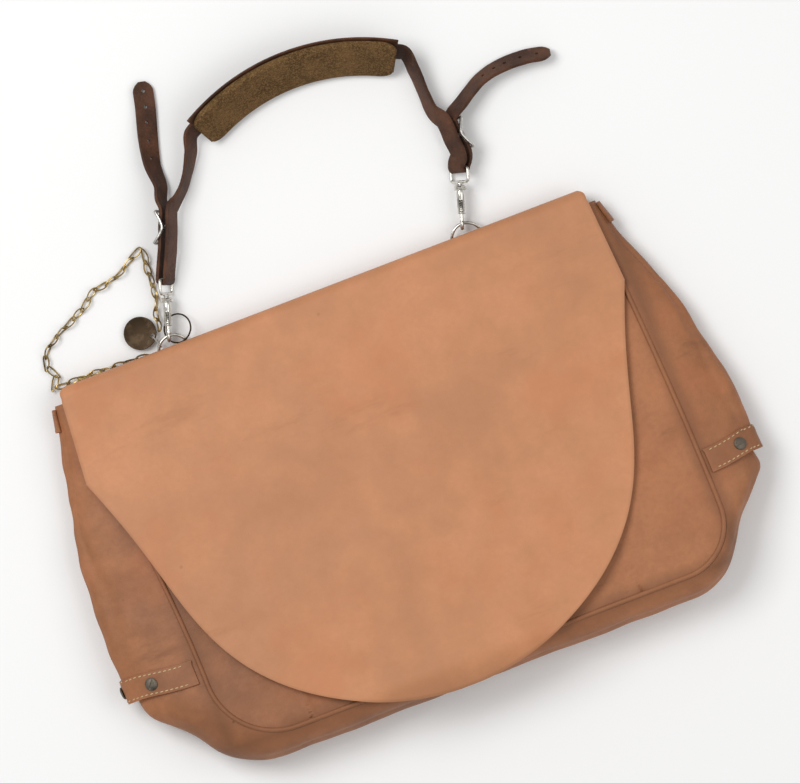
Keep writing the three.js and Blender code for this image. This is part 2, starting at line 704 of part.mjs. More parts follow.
// A tapered knuckle over the centre bar, and a shaft that rests on the lower bar.
function prong() {
  const outer = PRONG_INNER_R + PRONG_THICK;
  const end = Math.PI / 2 - rad(PRONG_WRAP);
  const thin = PRONG_INNER_R + PRONG_THICK * 0.27;
  const side = new THREE.Shape();
  side.moveTo(-PRONG_LENGTH, outer);
  side.lineTo(-PRONG_LENGTH, outer - PRONG_THICK * 0.7);
  side.lineTo(-PRONG_LENGTH + 2, PRONG_INNER_R);
  side.lineTo(0, PRONG_INNER_R);
  side.absarc(0, 0, PRONG_INNER_R, Math.PI / 2, end, true);
  side.lineTo(thin * Math.cos(end), thin * Math.sin(end));
  side.lineTo(0, outer);
  side.closePath();
  const options = { depth: PRONG_WIDTH, bevelEnabled: false, curveSegments: 6 };
  const solid = new THREE.ExtrudeGeometry(side, options).translate(0, 0, -PRONG_WIDTH / 2);
  return solid.applyMatrix4(basis(vec(0, 1, 0), UP, vec(1, 0, 0), vec(0, 0, 0)));
}

for (const name of ["left", "right"]) {
  const matrix = buckleMatrix(name);
  add(`buckle_frame_${name}`, buckleFrame(), "nickel", matrix);
  add(`buckle_prong_${name}`, prong(), "nickel", matrix);
}

// ---- shoulder pad: a bow lying on its inner edge ----

// The pad's frame at an angle to the right of its middle.
function padFrame(degrees) {
  const a = Math.PI / 2 - rad(degrees);
  const away = vec(Math.cos(a), Math.sin(a), 0);
  const centre = vec(...PAD_CENTRE, PAD_Z).addScaledVector(away, PAD_R);
  const lean = rad(PAD_LEAN);
  const width = away.clone().multiplyScalar(Math.cos(lean)).addScaledVector(UP, Math.sin(lean));
  const face = away.clone().multiplyScalar(-Math.sin(lean)).addScaledVector(UP, Math.cos(lean));
  return { centre, width, face, along: vec(Math.sin(a), -Math.cos(a), 0) };
}

function padLayer(near, far, half) {
  return shaped((u, v, w) => {
    const frame = padFrame(lerp(-PAD_HALF_ANGLE, PAD_HALF_ANGLE, u));
    const across = lerp(half, -half, v);
    const place = frame.centre.clone().addScaledVector(frame.width, across);
    return place.addScaledVector(frame.face, lerp(far, near, 1 - w));
  }, 16, 1);
}

const BACKING_FACE = -PAD_FELT / 2 - GAP - PAD_BACKING;
const LOOP_HALF = STRAP_LEATHER / 2 + PAD_CLEAR + PAD_LOOP_WALL;
const STRAP_BEHIND = BACKING_FACE - GAP - LOOP_HALF;

function padLoop(degrees) {
  const frame = padFrame(degrees);
  const innerX = STRAP_WIDTH / 2 + PAD_CLEAR;
  const innerY = STRAP_LEATHER / 2 + PAD_CLEAR;
  const box = (x, y, depth) => toSolid(new THREE.BoxGeometry(x, y, depth));
  const wall = 2 * PAD_LOOP_WALL;
  const outer = box(2 * innerX + wall, 2 * innerY + wall, PAD_LOOP_LENGTH);
  const ring = outer.subtract(box(2 * innerX, 2 * innerY, PAD_LOOP_LENGTH + 1));
  const centre = frame.centre.clone().addScaledVector(frame.face, STRAP_BEHIND);
  return toGeometry(ring).applyMatrix4(basis(frame.width, frame.face, frame.along, centre));
}

add("pad_felt", padLayer(PAD_FELT / 2, -PAD_FELT / 2, PAD_WIDTH / 2), "felt");
add("pad_backing", padLayer(-PAD_FELT / 2 - GAP, BACKING_FACE, PAD_WIDTH / 2 + 1), "strap");
add("pad_loop_left", padLoop(-PAD_LOOP_ANGLE), "strap");
add("pad_loop_right", padLoop(PAD_LOOP_ANGLE), "strap");

// ---- shoulder strap: one strip, from the left tail's end to the right tail's end ----

// A place on the strap, and which way its upper edge points: a heading and a lean from level.
function leaning(x, y, z, heading, lean) {
  const level = vec(Math.cos(rad(heading)), Math.sin(rad(heading)), 0);
  level.multiplyScalar(Math.cos(rad(lean))).addScaledVector(UP, Math.sin(rad(lean)));
  return { at: vec(x, y, z), width: level };
}

// The strap's two layers from the buckle, round the eye's bar and back: tail layer first.
function strapEnd(name) {
  const stations = [];
  const buckle = strapFrame(name);
  const { along, width, inside } = strapAxes(ENDS[name], rad(SNAP_TURN[name]));
  const bar = vec(RING_X[name], RING_FAR_Y, SNAP_Z).addScaledVector(along, EYE_BAR);
  const atBuckle = (s, n) => {
    const at = buckle.centre.clone().addScaledVector(buckle.along, s);
    stations.push({ at: at.addScaledVector(buckle.inside, n), width: buckle.width });
  };
  const atEye = (s, n) => {
    const at = bar.clone().addScaledVector(along, s).addScaledVector(inside, n);
    stations.push({ at, width });
  };
  atBuckle(BUCKLE_END, -LAYER_GAP);
  atBuckle(0, -LAYER_GAP);
  atBuckle(-BUCKLE_END, -LAYER_GAP);
  atEye(2.5, -BEND_R);
  for (let i = 0; i <= 6; i++) {
    const a = (i / 6) * Math.PI;
    atEye(-BEND_R * Math.sin(a), -BEND_R * Math.cos(a));
  }
  atEye(2.5, BEND_R);
  atBuckle(-BUCKLE_END, LAYER_GAP);
  atBuckle(0, LAYER_GAP);
  atBuckle(BUCKLE_END, LAYER_GAP);
  return stations;
}

const LEFT_TAIL = [
  leaning(-86, 243, 2.7, 180, 4),
  leaning(-91, 220, 3.2, 180, 8),
  leaning(-99, 192, 5.5, 182, 25),
  leaning(-104, 167, 9, 180, 46),
  leaning(-104, 146, 13, 172, 60),
  leaning(-108, 134, 15.5, 162, 64),
];
const LEFT_RUN = [
  leaning(-97.5, 125.5, 16, 145, 66),
  leaning(-87.5, 134, 12.5, 136, 72),
  leaning(-77, 147, 11.5, 146, 72),
  leaning(-67, 164, 14, 140, 62),
];
const RIGHT_RUN = [
  leaning(153, 162, 13.5, 12, 62),
  leaning(154, 141, 11.5, 8, 66),
  leaning(155.5, 120, 13, 6, 60),
];
const RIGHT_TAIL = [
  leaning(174, 113.5, 15.5, -38, 52),
  leaning(183, 118.5, 13, -54, 56),
  leaning(194, 125.5, 11, -58, 58),
  leaning(209, 133.5, 9.6, -70, 56),
  leaning(228, 137.5, 9.2, -86, 52),
  leaning(252, 137.5, 9, -94, 50),
  leaning(277, 133, 9, -102, 50),
];

function padRun() {
  const stations = [];
  for (const degrees of [-32, -28.8, -24, -14, 0, 14, 24, 28.8, 32]) {
    const frame = padFrame(degrees);
    const slack = degrees === -14 ? 3 : 0;
    const at = frame.centre.clone().addScaledVector(frame.face, STRAP_BEHIND - slack);
    stations.push({ at, width: frame.width });
  }
  return stations;
}

const STATIONS = [
  ...LEFT_TAIL,
  ...strapEnd("left"),
  ...LEFT_RUN,
  ...padRun(),
  ...RIGHT_RUN,
  ...strapEnd("right").reverse(),
  ...RIGHT_TAIL,
];

function strapCurve(stations) {
  return new THREE.CatmullRomCurve3(stations.map((s) => s.at), false, "centripetal");
}

// Centre and axes of the strap at a share of the way through its stations.
function strapAt(curve, t) {
  const along = curve.getTangent(t);
  const place = t * (STATIONS.length - 1);
  const i = Math.min(STATIONS.length - 2, Math.floor(place));
  const width = STATIONS[i].width.clone().lerp(STATIONS[i + 1].width, place - i);
  width.addScaledVector(along, -width.dot(along)).normalize();
  return { centre: curve.getPoint(t), along, width, face: width.clone().cross(along) };
}

function slotThroughStrap(name) {
  const { along, width, inside, centre } = strapFrame(name);
  const at = centre.clone().addScaledVector(along, PRONG_SLOT.at).addScaledVector(inside, -LAYER_GAP);
  const cutter = new THREE.BoxGeometry(PRONG_WIDTH + 1.2, PRONG_SLOT.length, STRAP_LEATHER + 2);
  return toSolid(cutter.applyMatrix4(basis(width, along, width.clone().cross(along), at)));
}

// Punched holes along a tail, each at a share of the way between two stations.
function punched(curve, solid, shares) {
  let left = solid;
  for (const share of shares) {
    const { centre, along, width, face } = strapAt(curve, share);
    const cutter = new THREE.CylinderGeometry(HOLE_R, HOLE_R, STRAP_LEATHER * 3, 8);
    left = left.subtract(toSolid(cutter.applyMatrix4(basis(width, face, width.clone().cross(face), centre))));
  }
  return left;
}

function shoulderStrap() {
  const curve = strapCurve(STATIONS);
  const last = STATIONS.length - 1;
  const solid = toSolid(shaped((u, v, w) => {
    const { centre, width, face } = strapAt(curve, u);
    const round = Math.min(1, 0.55 + Math.min(u, 1 - u) * last * 1.6);
    const place = centre.addScaledVector(width, (v - 0.5) * STRAP_WIDTH * round);
    return place.addScaledVector(face, (0.5 - w) * STRAP_LEATHER);
  }, last * 2, 1));
  const tail = [0.35, 0.95, 1.5, 2.1, 2.7];
  const holes = [...tail.map((n) => n / last), ...tail.map((n) => 1 - (n + 0.2) / last)];
  const cut = solid.subtract(slotThroughStrap("left")).subtract(slotThroughStrap("right"));
  return toGeometry(punched(curve, cut, holes));
}

add("shoulder_strap", shoulderStrap(), "strap");

// ---- key chain, tag, split ring ----

// The chain's route, end to end: up from the left ring, out over the floor and back along the fold.
const CHAIN_ROUTE = [
  vec(-151.5, 22, 16),
  vec(-151, 30, 11.5),
  vec(-149, 41, 6),
  vec(-145, 52, 3.9),
  vec(-143.5, 66, 3.9),
  vec(-142.5, 82, 3.9),
  vec(-141.5, 94, 3.9),
  vec(-146, 97, 3.9),
  vec(-158, 90, 3.9),
  vec(-177, 81, 3.9),
  vec(-197, 77, 3.9),
  vec(-212, 66, 3.9),
  vec(-234, 55, 3.9),
  vec(-254, 43, 3.9),
  vec(-262, 29, 3.9),
  vec(-257, 17, 3.9),
  vec(-262, 8, 3.9),
  vec(-250, 6.2, 3.9),
  vec(-232, 7, 3.9),
  vec(-208, 5.4, 3.9),
  vec(-186, 4, 3.9),
  vec(-170, 3.4, 3.9),
];

add("key_chain", tube(CHAIN_ROUTE, CHAIN_R, 60, 8), "brass");

function tag() {
  const disc = new THREE.Shape();
  disc.absarc(0, 0, TAG_R, 0, 2 * Math.PI, false);
  const hole = new THREE.Path();
  hole.absarc(TAG_R - TAG_HOLE_R - 1.3, 0, TAG_HOLE_R, 0, 2 * Math.PI, true);
  disc.holes.push(hole);
  const options = { depth: TAG_THICK, bevelEnabled: false, curveSegments: 14 };
  return new THREE.ExtrudeGeometry(disc, options).translate(0, 0, -TAG_THICK / 2);
}

const TAG_CENTRE = vec(-170.3, 25.8, 5);
const TAG_TOWARDS = vec(0.84, -0.54, 0.12).normalize();
const TAG_ACROSS = UP.clone().cross(TAG_TOWARDS).normalize();
const TAG_UP = TAG_TOWARDS.clone().cross(TAG_ACROSS);
add("key_tag", tag(), "dark", basis(TAG_TOWARDS, TAG_ACROSS, TAG_UP, TAG_CENTRE));

// The wire link goes through the tag's hole and round the ring's wire.
function tagLink() {
  const hole = TAG_CENTRE.clone().addScaledVector(TAG_TOWARDS, TAG_R - TAG_HOLE_R - 1.3);
  const a = rad(140);
  const onRing = vec(RING_R * Math.cos(a), RING_R * Math.sin(a), 0).applyMatrix4(ringMatrix(RING_X.left));
  const long = onRing.clone().sub(hole);
  const half = long.length() / 2 + 1.3;
  long.normalize();
  const centre = hole.clone().addScaledVector(long, half);
  const flat = long.clone().cross(UP).normalize();
  const loop = wireLoop(half, 4.4, LINK_WIRE, 0.8, 20);
  return loop.applyMatrix4(basis(long, flat.clone().cross(long), flat, centre));
}

add("tag_link", tagLink(), "nickel");

// The split ring lies through the left ring and under the snap.
function splitRing() {
  const rise = vec(0.84, -0.54, 0);
  const slope = rad(SPLIT_SLOPE);
  const x = rise.clone().multiplyScalar(Math.cos(slope)).addScaledVector(UP, Math.sin(slope));
  const y = UP.clone().cross(rise);
  const loop = merged(new THREE.TorusGeometry(SPLIT_R, SPLIT_WIRE, 6, 28));
  const at = vec(RING_X.left + 9.7, RING_FAR_Y + 3.67, 8.35);
  return loop.applyMatrix4(basis(x, y, x.clone().cross(y), at));
}

add("split_ring", splitRing(), "dark");

const part = new THREE.Group();
part.add(bag);
export default part;
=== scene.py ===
import math

import bmesh
import bpy
from mathutils import Matrix, Vector, noise
from mathutils.kdtree import KDTree


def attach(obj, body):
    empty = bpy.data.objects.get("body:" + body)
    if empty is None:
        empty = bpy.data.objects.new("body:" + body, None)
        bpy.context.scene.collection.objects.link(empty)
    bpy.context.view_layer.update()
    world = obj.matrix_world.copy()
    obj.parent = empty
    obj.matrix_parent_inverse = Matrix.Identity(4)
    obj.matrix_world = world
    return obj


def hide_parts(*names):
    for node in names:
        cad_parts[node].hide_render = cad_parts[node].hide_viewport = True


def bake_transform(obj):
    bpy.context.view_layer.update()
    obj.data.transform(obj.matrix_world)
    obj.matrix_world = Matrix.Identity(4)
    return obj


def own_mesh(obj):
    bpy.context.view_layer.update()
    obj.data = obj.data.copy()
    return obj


bl_info = {
    "name": "Letter carrier's satchel",
    "version": (1, 0),
    "blender": (4, 5, 0),
    "location": "View3D > Sidebar > Satchel",
    "description": "Dresses the satchel's frame in leather, felt, nickel and brass",
    "category": "Add Mesh",
}

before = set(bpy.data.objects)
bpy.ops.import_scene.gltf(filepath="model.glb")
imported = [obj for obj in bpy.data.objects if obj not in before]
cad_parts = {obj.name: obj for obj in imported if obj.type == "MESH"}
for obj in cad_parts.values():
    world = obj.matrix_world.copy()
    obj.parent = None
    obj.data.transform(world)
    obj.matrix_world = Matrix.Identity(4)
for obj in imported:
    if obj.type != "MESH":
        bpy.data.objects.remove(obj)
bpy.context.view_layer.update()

# ---- places, in millimetres, with y counted from the flap's fold line ----

MM = 0.001
FOLD_LINE = 181.5
EDGE = 2.6
TUCKED = 1.9
PIPING_R = 2.3
LEATHER = 2.6
FLAP_LEATHER = 3.4
UP = Vector((0, 0, 1))

LEFT = {"name": "left", "dir": -1, "corner": 65, "bulge": 70, "pouch": 34, "band": -279}
RIGHT = {"name": "right", "dir": 1, "corner": 50, "bulge": 54, "pouch": 14, "band": -266}
SIDES = (LEFT, RIGHT)
BAND_WIDTH = 23
RIVETS_AT = {"left": (0.8, 0.46), "right": (0.79, 0.28)}
SEAM_DROP, SEAM_WIDTH, MOUTH_WIDTH, MOUTH_DROP, SEAM_SHIFT = 363, 498, 512, 10, 23
BOTTOM_END, CORNER_END = 0.3, 0.5

FLAP_KINK, FLAP_DROP, FLAP_HALF, FLAP_TOP_HALF = 88, 384, 265, 259
FOLD_R, FOLD_CENTRE, FOLD_Z = 9.6, -6.9, 19

RING_X = {"left": -146, "right": 144}
RING_R, RING_WIRE, RING_SET = 14.25, 1.5, 13.33
PIVOT, SNAP_Z = (-12.4, 4.5), 12.2
RING_TILT = math.asin((SNAP_Z - PIVOT[1]) / (RING_SET + RING_R))
RING_FAR = PIVOT[0] + (RING_SET + RING_R) * math.cos(RING_TILT)
SNAP_TURN = {"left": 17.5, "right": 18}
HOOK_R, EYE_BAR = 4.4, 52
ENDS = {
    "left": {"lean": 65, "at": (-111, 107.5), "turn": 22, "dir": -1},
    "right": {"lean": 50, "at": (165.5, 91), "turn": -3, "dir": 1},
}
BUCKLE_Z, BUCKLE_TILT = 17.5, 30
STRAP_WIDTH, STRAP_LEATHER, BEND_R, LAYER_GAP = 19, 3.2, 3.9, 3.8
PAD_CENTRE, PAD_R, PAD_HALF_ANGLE, PAD_LEAN, PAD_Z = (45, 11.5), 190, 30, 55, 23.7
PAD_HALF_WIDTH = 23
STRAP_BEHIND = -10.7
LOOP_ANGLE = 26.5


def lerp(a, b, t):
    return a + (b - a) * t


def clamp(t, low=0.0, high=1.0):
    return min(high, max(low, t))


def ease(t, low, high):
    """From 0 at low to 1 at high, smoothly."""
    t = clamp((t - low) / (high - low))
    return t * t * (3 - 2 * t)


def at(x, y, z):
    """A place in metres in the model's frame."""
    return Vector((x, y + FOLD_LINE, z)) * MM


def to_metres(v):
    return at(v.x, v.y, v.z)


def ripple(place, size, depth, seed=0.0):
    """A soft unevenness of leather, in millimetres."""
    return depth * noise.noise(Vector((place.x / size, place.y / size, place.z / size + seed)))


def ridge(x, centre, width):
    """A rounded ridge: 1 at its centre and near 0 beyond twice its width."""
    return math.exp(-(((x - centre) / width) ** 2))


def circle(count):
    """Angles at equal steps, once round."""
    return [2 * math.pi * i / count for i in range(count)]


def arc(low, high, steps):
    """Angles at equal steps from low to high degrees, both ends included."""
    return [math.radians(lerp(low, high, i / steps)) for i in range(steps + 1)]


def squared(value, power):
    """A sine or cosine pushed outwards, which gives a circle flatter sides."""
    return math.copysign(abs(value) ** power, value)


def heading(degrees):
    """The level direction turned from +Y towards +X, and the one to its right."""
    a = math.radians(degrees)
    return Vector((math.sin(a), math.cos(a), 0)), Vector((math.cos(a), -math.sin(a), 0))


def leaned(side, lean):
    """A direction leaning up from a level one."""
    return side * math.cos(math.radians(lean)) + UP * math.sin(math.radians(lean))


def through(points, steps):
    """A smooth line through points, with the same number of steps between each two."""
    ends = [points[0] * 2 - points[1], *points, points[-1] * 2 - points[-2]]
    line = []
    for a, b, c, d in zip(ends, ends[1:], ends[2:], ends[3:]):
        t0, t1 = 0.0, max((b - a).length, 1e-6) ** 0.5
        t2 = t1 + max((c - b).length, 1e-6) ** 0.5
        t3 = t2 + max((d - c).length, 1e-6) ** 0.5
        for i in range(steps):
            t = lerp(t1, t2, i / steps)
            p = a.lerp(b, (t - t0) / (t1 - t0))
            q = b.lerp(c, (t - t1) / (t2 - t1))
            r = c.lerp(d, (t - t2) / (t3 - t2))
            p = p.lerp(q, (t - t0) / (t2 - t0))
            q = q.lerp(r, (t - t1) / (t3 - t1))
            line.append(p.lerp(q, (t - t1) / (t2 - t1)))
    line.append(points[-1].copy())
    return line


def spaced(line, pitch):
    """Places at equal steps along a line, each with its direction."""
    places, left = [], pitch / 2
    for a, b in zip(line, line[1:]):
        length = (b - a).length
        while left <= length and length > 0:
            places.append((a.lerp(b, left / length), (b - a).normalized()))
            left += pitch
        left -= length
    return places


# ---- the bag's seams ----


def seam(side, m, out=0.0):
    """A place on the seam and its outward direction: m is 0 under the bag and 1 at its mouth."""
    cx = SEAM_SHIFT + side["dir"] * (SEAM_WIDTH / 2 - side["corner"])
    cy = -SEAM_DROP + side["corner"]
    if m < BOTTOM_END:
        x = lerp(SEAM_SHIFT, cx, m / BOTTOM_END)
        return Vector((x, -SEAM_DROP - out, 0)), Vector((0, -1, 0))
    if m < CORNER_END:
        a = (m - BOTTOM_END) / (CORNER_END - BOTTOM_END) * math.pi / 2
        away = Vector((side["dir"] * math.sin(a), -math.cos(a), 0))
        return Vector((cx, cy, 0)) + away * (side["corner"] + out), away
    k = (m - CORNER_END) / (1 - CORNER_END)
    x = lerp(SEAM_SHIFT + side["dir"] * SEAM_WIDTH / 2, side["dir"] * MOUTH_WIDTH / 2, k**1.6)
    away = Vector((side["dir"], 0, 0))
    return Vector((x + side["dir"] * out, lerp(cy, -MOUTH_DROP, k), 0)), away


def along_side(side, y):
    corner = -SEAM_DROP + side["corner"]
    return lerp(CORNER_END, 1, (y - corner) / (-MOUTH_DROP - corner))


def band_end(side):
    return along_side(side, side["band"] - BAND_WIDTH / 2)


def front_z(y):
    return lerp(24, 62, clamp((-y - MOUTH_DROP) / (SEAM_DROP - MOUTH_DROP)))


def back_lift(y):
    return 2.2 * ease(y, -118, -82)


def front_seam(side, m, out=0.0):
    place = seam(side, m, out)[0]
    place.z = front_z(seam(side, m)[0].y)
    return place


def back_seam(side, m, out=0.0):
    place = seam(side, m, out)[0]
    place.z = EDGE + back_lift(seam(side, m)[0].y)
    return place


def bulge(side, m):
    down = min(1, (1 - m) / (1 - CORNER_END) / 0.8)
    above = lerp(9.5, side["bulge"], math.sin(down * math.pi / 2))
    middle = lerp(BOTTOM_END, CORNER_END, 0.6)
    below = lerp(21, side["pouch"], ease(m, BOTTOM_END, middle))
    return lerp(below, above, ease(m, middle, band_end(side)) ** 2)


def gusset(side, m, v, tuck=0.0):
    """The gusset from the back seam, v = 0, to the front seam, v = 1."""
    low, high = back_seam(side, m, TUCKED), front_seam(side, m, TUCKED)
    away = seam(side, m)[1]
    reach = away * (bulge(side, m) - TUCKED - tuck) * 1.36
    drop = UP * (high.z - low.z) * 0.16
    points = (low, low + reach + drop, high + reach - drop, high)
    w = ((1 - v) ** 3, 3 * v * (1 - v) ** 2, 3 * v * v * (1 - v), v**3)
    return sum((p * k for p, k in zip(points, w)), Vector())


def worn_gusset(side, m, v, tuck=0.0):
    """The gusset with the sag and soft folds of old leather."""
    place = gusset(side, m, v, tuck)
    inner = math.sin(math.pi * v)
    fold = ripple(place, 52, 4.2, side["dir"] * 3) + ripple(place, 21, 1.3, 7)
    # a long crease runs down the side where the leather folds flat
    crease = ridge(v, 0.7 + 0.05 * math.sin(m * 21), 0.055)
    fold -= 2.6 * crease * ease(m, 0.34, 0.5) * (1 - ease(m, 0.9, 1))
    second = ridge(v, 0.52 - 0.08 * math.sin(m * 13 + side["dir"]), 0.04)
    fold -= 1.8 * second * ease(m, 0.52, 0.62) * (1 - ease(m, 0.86, 0.97))
    fold *= lerp(0.45, 1, ease(m, CORNER_END, 0.66))
    away = seam(side, m)[1] * 0.6 + UP * (0.9 * (v - 0.45))
    return place + away.normalized() * fold * inner


# ---- shaping tools ----


def deselect():
    if bpy.context.object and bpy.context.object.mode != "OBJECT":
        bpy.ops.object.mode_set(mode="OBJECT")
    bpy.ops.object.select_all(action="DESELECT")


def choose(*pieces):
    deselect()
    for piece in pieces:
        piece.select_set(True)
    bpy.context.view_layer.objects.active = pieces[0]


def named(name):
    piece = bpy.context.object
    piece.name = name
    piece.data.name = name
    return piece


def modify(piece, kind, **settings):
    """Adds a modifier and applies it."""
    choose(piece)
    modifier = piece.modifiers.new(kind.title(), kind)
    for key, value in settings.items():
        setattr(modifier, key, value)
    bpy.ops.object.modifier_apply(modifier=modifier.name)
    return piece


def mesh_tools(piece, *steps):
    """Runs mesh tools on all of a piece: each step is a tool's name and its settings."""
    choose(piece)
    bpy.ops.object.mode_set(mode="EDIT")
    bpy.ops.mesh.select_all(action="SELECT")
    for tool, settings in steps:
        getattr(bpy.ops.mesh, tool)(**settings)
    bpy.ops.object.mode_set(mode="OBJECT")


def tidy(piece, merge=1e-6, angle=40):
    """Merges doubled points, turns every face outwards and smooths the round parts."""
    mesh_tools(piece, ("remove_doubles", {"threshold": merge}), ("normals_make_consistent", {}))
    bpy.ops.object.shade_smooth_by_angle(angle=math.radians(angle))
    return piece


def grid(name, across, along):
    """A flat grid of one metre about the origin, with that many faces each way."""
    deselect()
    bpy.ops.mesh.primitive_grid_add(x_subdivisions=across, y_subdivisions=along, size=1)
    return named(name)


def sheet_of(name, across, along, place):
    """A grid whose points are carried to place(u, v), in millimetres, u and v from 0 to 1."""
    piece = grid(name, across, along)
    for point in piece.data.vertices:
        point.co = to_metres(place(point.co.x + 0.5, point.co.y + 0.5))
    return piece


def thicken(piece, thick, round_edge=0.0):
    modify(piece, "SOLIDIFY", thickness=thick * MM, offset=0)
    if round_edge:
        limits = {"limit_method": "ANGLE", "angle_limit": math.radians(50)}
        modify(piece, "BEVEL", width=round_edge * MM, segments=2, **limits)
    return tidy(piece)


def normal_at(surface, u, v):
    step = 2e-3
    across = surface(min(1, u + step), v) - surface(max(0, u - step), v)
    along = surface(u, min(1, v + step)) - surface(u, max(0, v - step))
    return across.cross(along).normalized()


def over(surface, lift):
    """The same surface, lifted along its normal."""
    return lambda u, v: surface(u, v) + normal_at(surface, u, v) * lift


def turned(name, profile, sides=32):
    """A lathe-turned piece along +Y: profile is a list of (radius, y) that starts and ends at 0."""
    count = len(profile) - 1
    piece = grid(name, sides, count)
    for point in piece.data.vertices:
        radius, y = profile[round((point.co.y + 0.5) * count)]
        a = (point.co.x + 0.5) * 2 * math.pi
        point.co = Vector((radius * math.cos(a), y, radius * math.sin(a))) * MM
    return tidy(piece)


def wire(name, points, radius, sides=12, closed=False, taper=None):
    """A round wire through points in millimetres, about the model's own origin."""
    deselect()
    bpy.ops.curve.primitive_nurbs_path_add()
    piece = named(name)
    curve = piece.data
    curve.splines.clear()
    line = curve.splines.new("POLY")
    line.points.add(len(points) - 1)
    for i, p in enumerate(points):
        line.points[i].co = (*(Vector(p) * MM), 1)
        line.points[i].radius = taper(i / (len(points) - 1)) if taper else 1
    line.use_cyclic_u = closed
    curve.dimensions = "3D"
    curve.bevel_depth = radius * MM
    curve.bevel_resolution = max(0, sides // 2 - 2)
    curve.use_fill_caps = not closed
    bpy.ops.object.convert(target="MESH")
    return tidy(bpy.context.object)


def carried(piece, matrix):
    """Moves a piece's points by a matrix whose lengths are in metres."""
    piece.data.transform(matrix)
    if matrix.determinant() < 0:
        piece.data.flip_normals()
    return piece


def joined(name, *pieces):
    choose(*pieces)
    if len(pieces) > 1:
        bpy.ops.object.join()
    return named(name)


def repeated(name, model, matrices):
    """One piece made of copies of a small model, each carried by a matrix; the model is removed."""
    mesh = bmesh.new()
    for matrix in matrices:
        first = len(mesh.verts)
        mesh.from_mesh(model.data)
        mesh.verts.ensure_lookup_table()
        bmesh.ops.transform(mesh, matrix=matrix, verts=mesh.verts[first:])
    piece = bpy.data.objects.new(name, bpy.data.meshes.new(name))
    bpy.context.collection.objects.link(piece)
    mesh.to_mesh(piece.data)
    mesh.free()
    bpy.data.objects.remove(model)
    return tidy(piece, merge=1e-7)


def cut_away(piece, tool):
    """Cuts the tool's shape out of a piece and removes the tool."""
    modify(piece, "BOOLEAN", operation="DIFFERENCE", object=tool, solver="EXACT")
    bpy.data.objects.remove(tool)
    return piece


def box_of(name, size, matrix):
    deselect()
    bpy.ops.mesh.primitive_cube_add(size=1)
    piece = named(name)
    piece.data.transform(matrix @ Matrix.Diagonal((*(Vector(size) * MM), 1)))
    return piece


def rod_of(name, radius, length, matrix, sides=24):
    deselect()
    bpy.ops.mesh.primitive_cylinder_add(vertices=sides, radius=radius * MM, depth=length * MM)
    piece = named(name)
    piece.data.transform(matrix)
    return piece


def facing(x, y, z):
    """The turn that carries the model's axes to three directions."""
    return Matrix((x, y, z)).transposed().to_4x4()


def axes(x, y, z, origin):
    """A matrix from three directions and a place in millimetres."""
    return Matrix.Translation(to_metres(origin)) @ facing(x, y, z)


def finished(piece, material, body, slot, *nodes):
    """Gives a piece its material and body, and says which frame nodes it stands for."""
    for look in material if isinstance(material, (list, tuple)) else (material,):
        piece.data.materials.append(bpy.data.materials[look])
    if body:
        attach(piece, body)
    if nodes:
        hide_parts(*nodes)
    return piece


def note(piece, name, value):
    """Stores a number, or value(point in metres), on each point for a material to read."""
    layer = piece.data.attributes.new(name, "FLOAT", "POINT")
    for point in piece.data.vertices:
        layer.data[point.index].value = value(point.co) if callable(value) else value


def bag_piece(piece, *nodes, edge=None, thick=LEATHER, round_edge=0.0, look="bag_hide"):
    """Finishes a sheet as leather of the bag, darker where edge is high: by default painted shade
    and wear along the seams.
    """
    thicken(piece, thick, round_edge)
    note(piece, "edge", seam_shade_and_wear if edge is None else edge)
    return finished(piece, look, "bag", "bag_leather", *nodes)


def dressed(node, look):
    """Gives a piece kept from the frame its material."""
    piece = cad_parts[node]
    piece.data.materials.clear()
    piece.data.materials.append(bpy.data.materials[look])


# ---- materials ----


class Value:
    """A number worked out in a shader, with Python's own arithmetic."""

    def __init__(self, shade, socket):
        self.shade, self.socket = shade, socket

    def maths(self, operation, *others):
        inputs = dict(enumerate((self, *others)))
        made = self.shade.node("ShaderNodeMath", {"operation": operation}, inputs)
        return Value(self.shade, made.outputs[0])

    def __add__(self, other):
        return self.maths("ADD", other)

    def __mul__(self, other):
        return self.maths("MULTIPLY", other)

    def __sub__(self, other):
        return self.maths("SUBTRACT", other)

    def __rsub__(self, other):
        return (self * -1) + other

    __radd__, __rmul__ = __add__, __mul__

    def between(self, low, high):
        """0 below low, 1 above high, smooth in between."""
        inputs = {"Value": self, "From Min": low, "From Max": high}
        settings = {"interpolation_type": "SMOOTHSTEP", "clamp": True}
        made = self.shade.node("ShaderNodeMapRange", settings, inputs)
        return Value(self.shade, made.outputs[0])


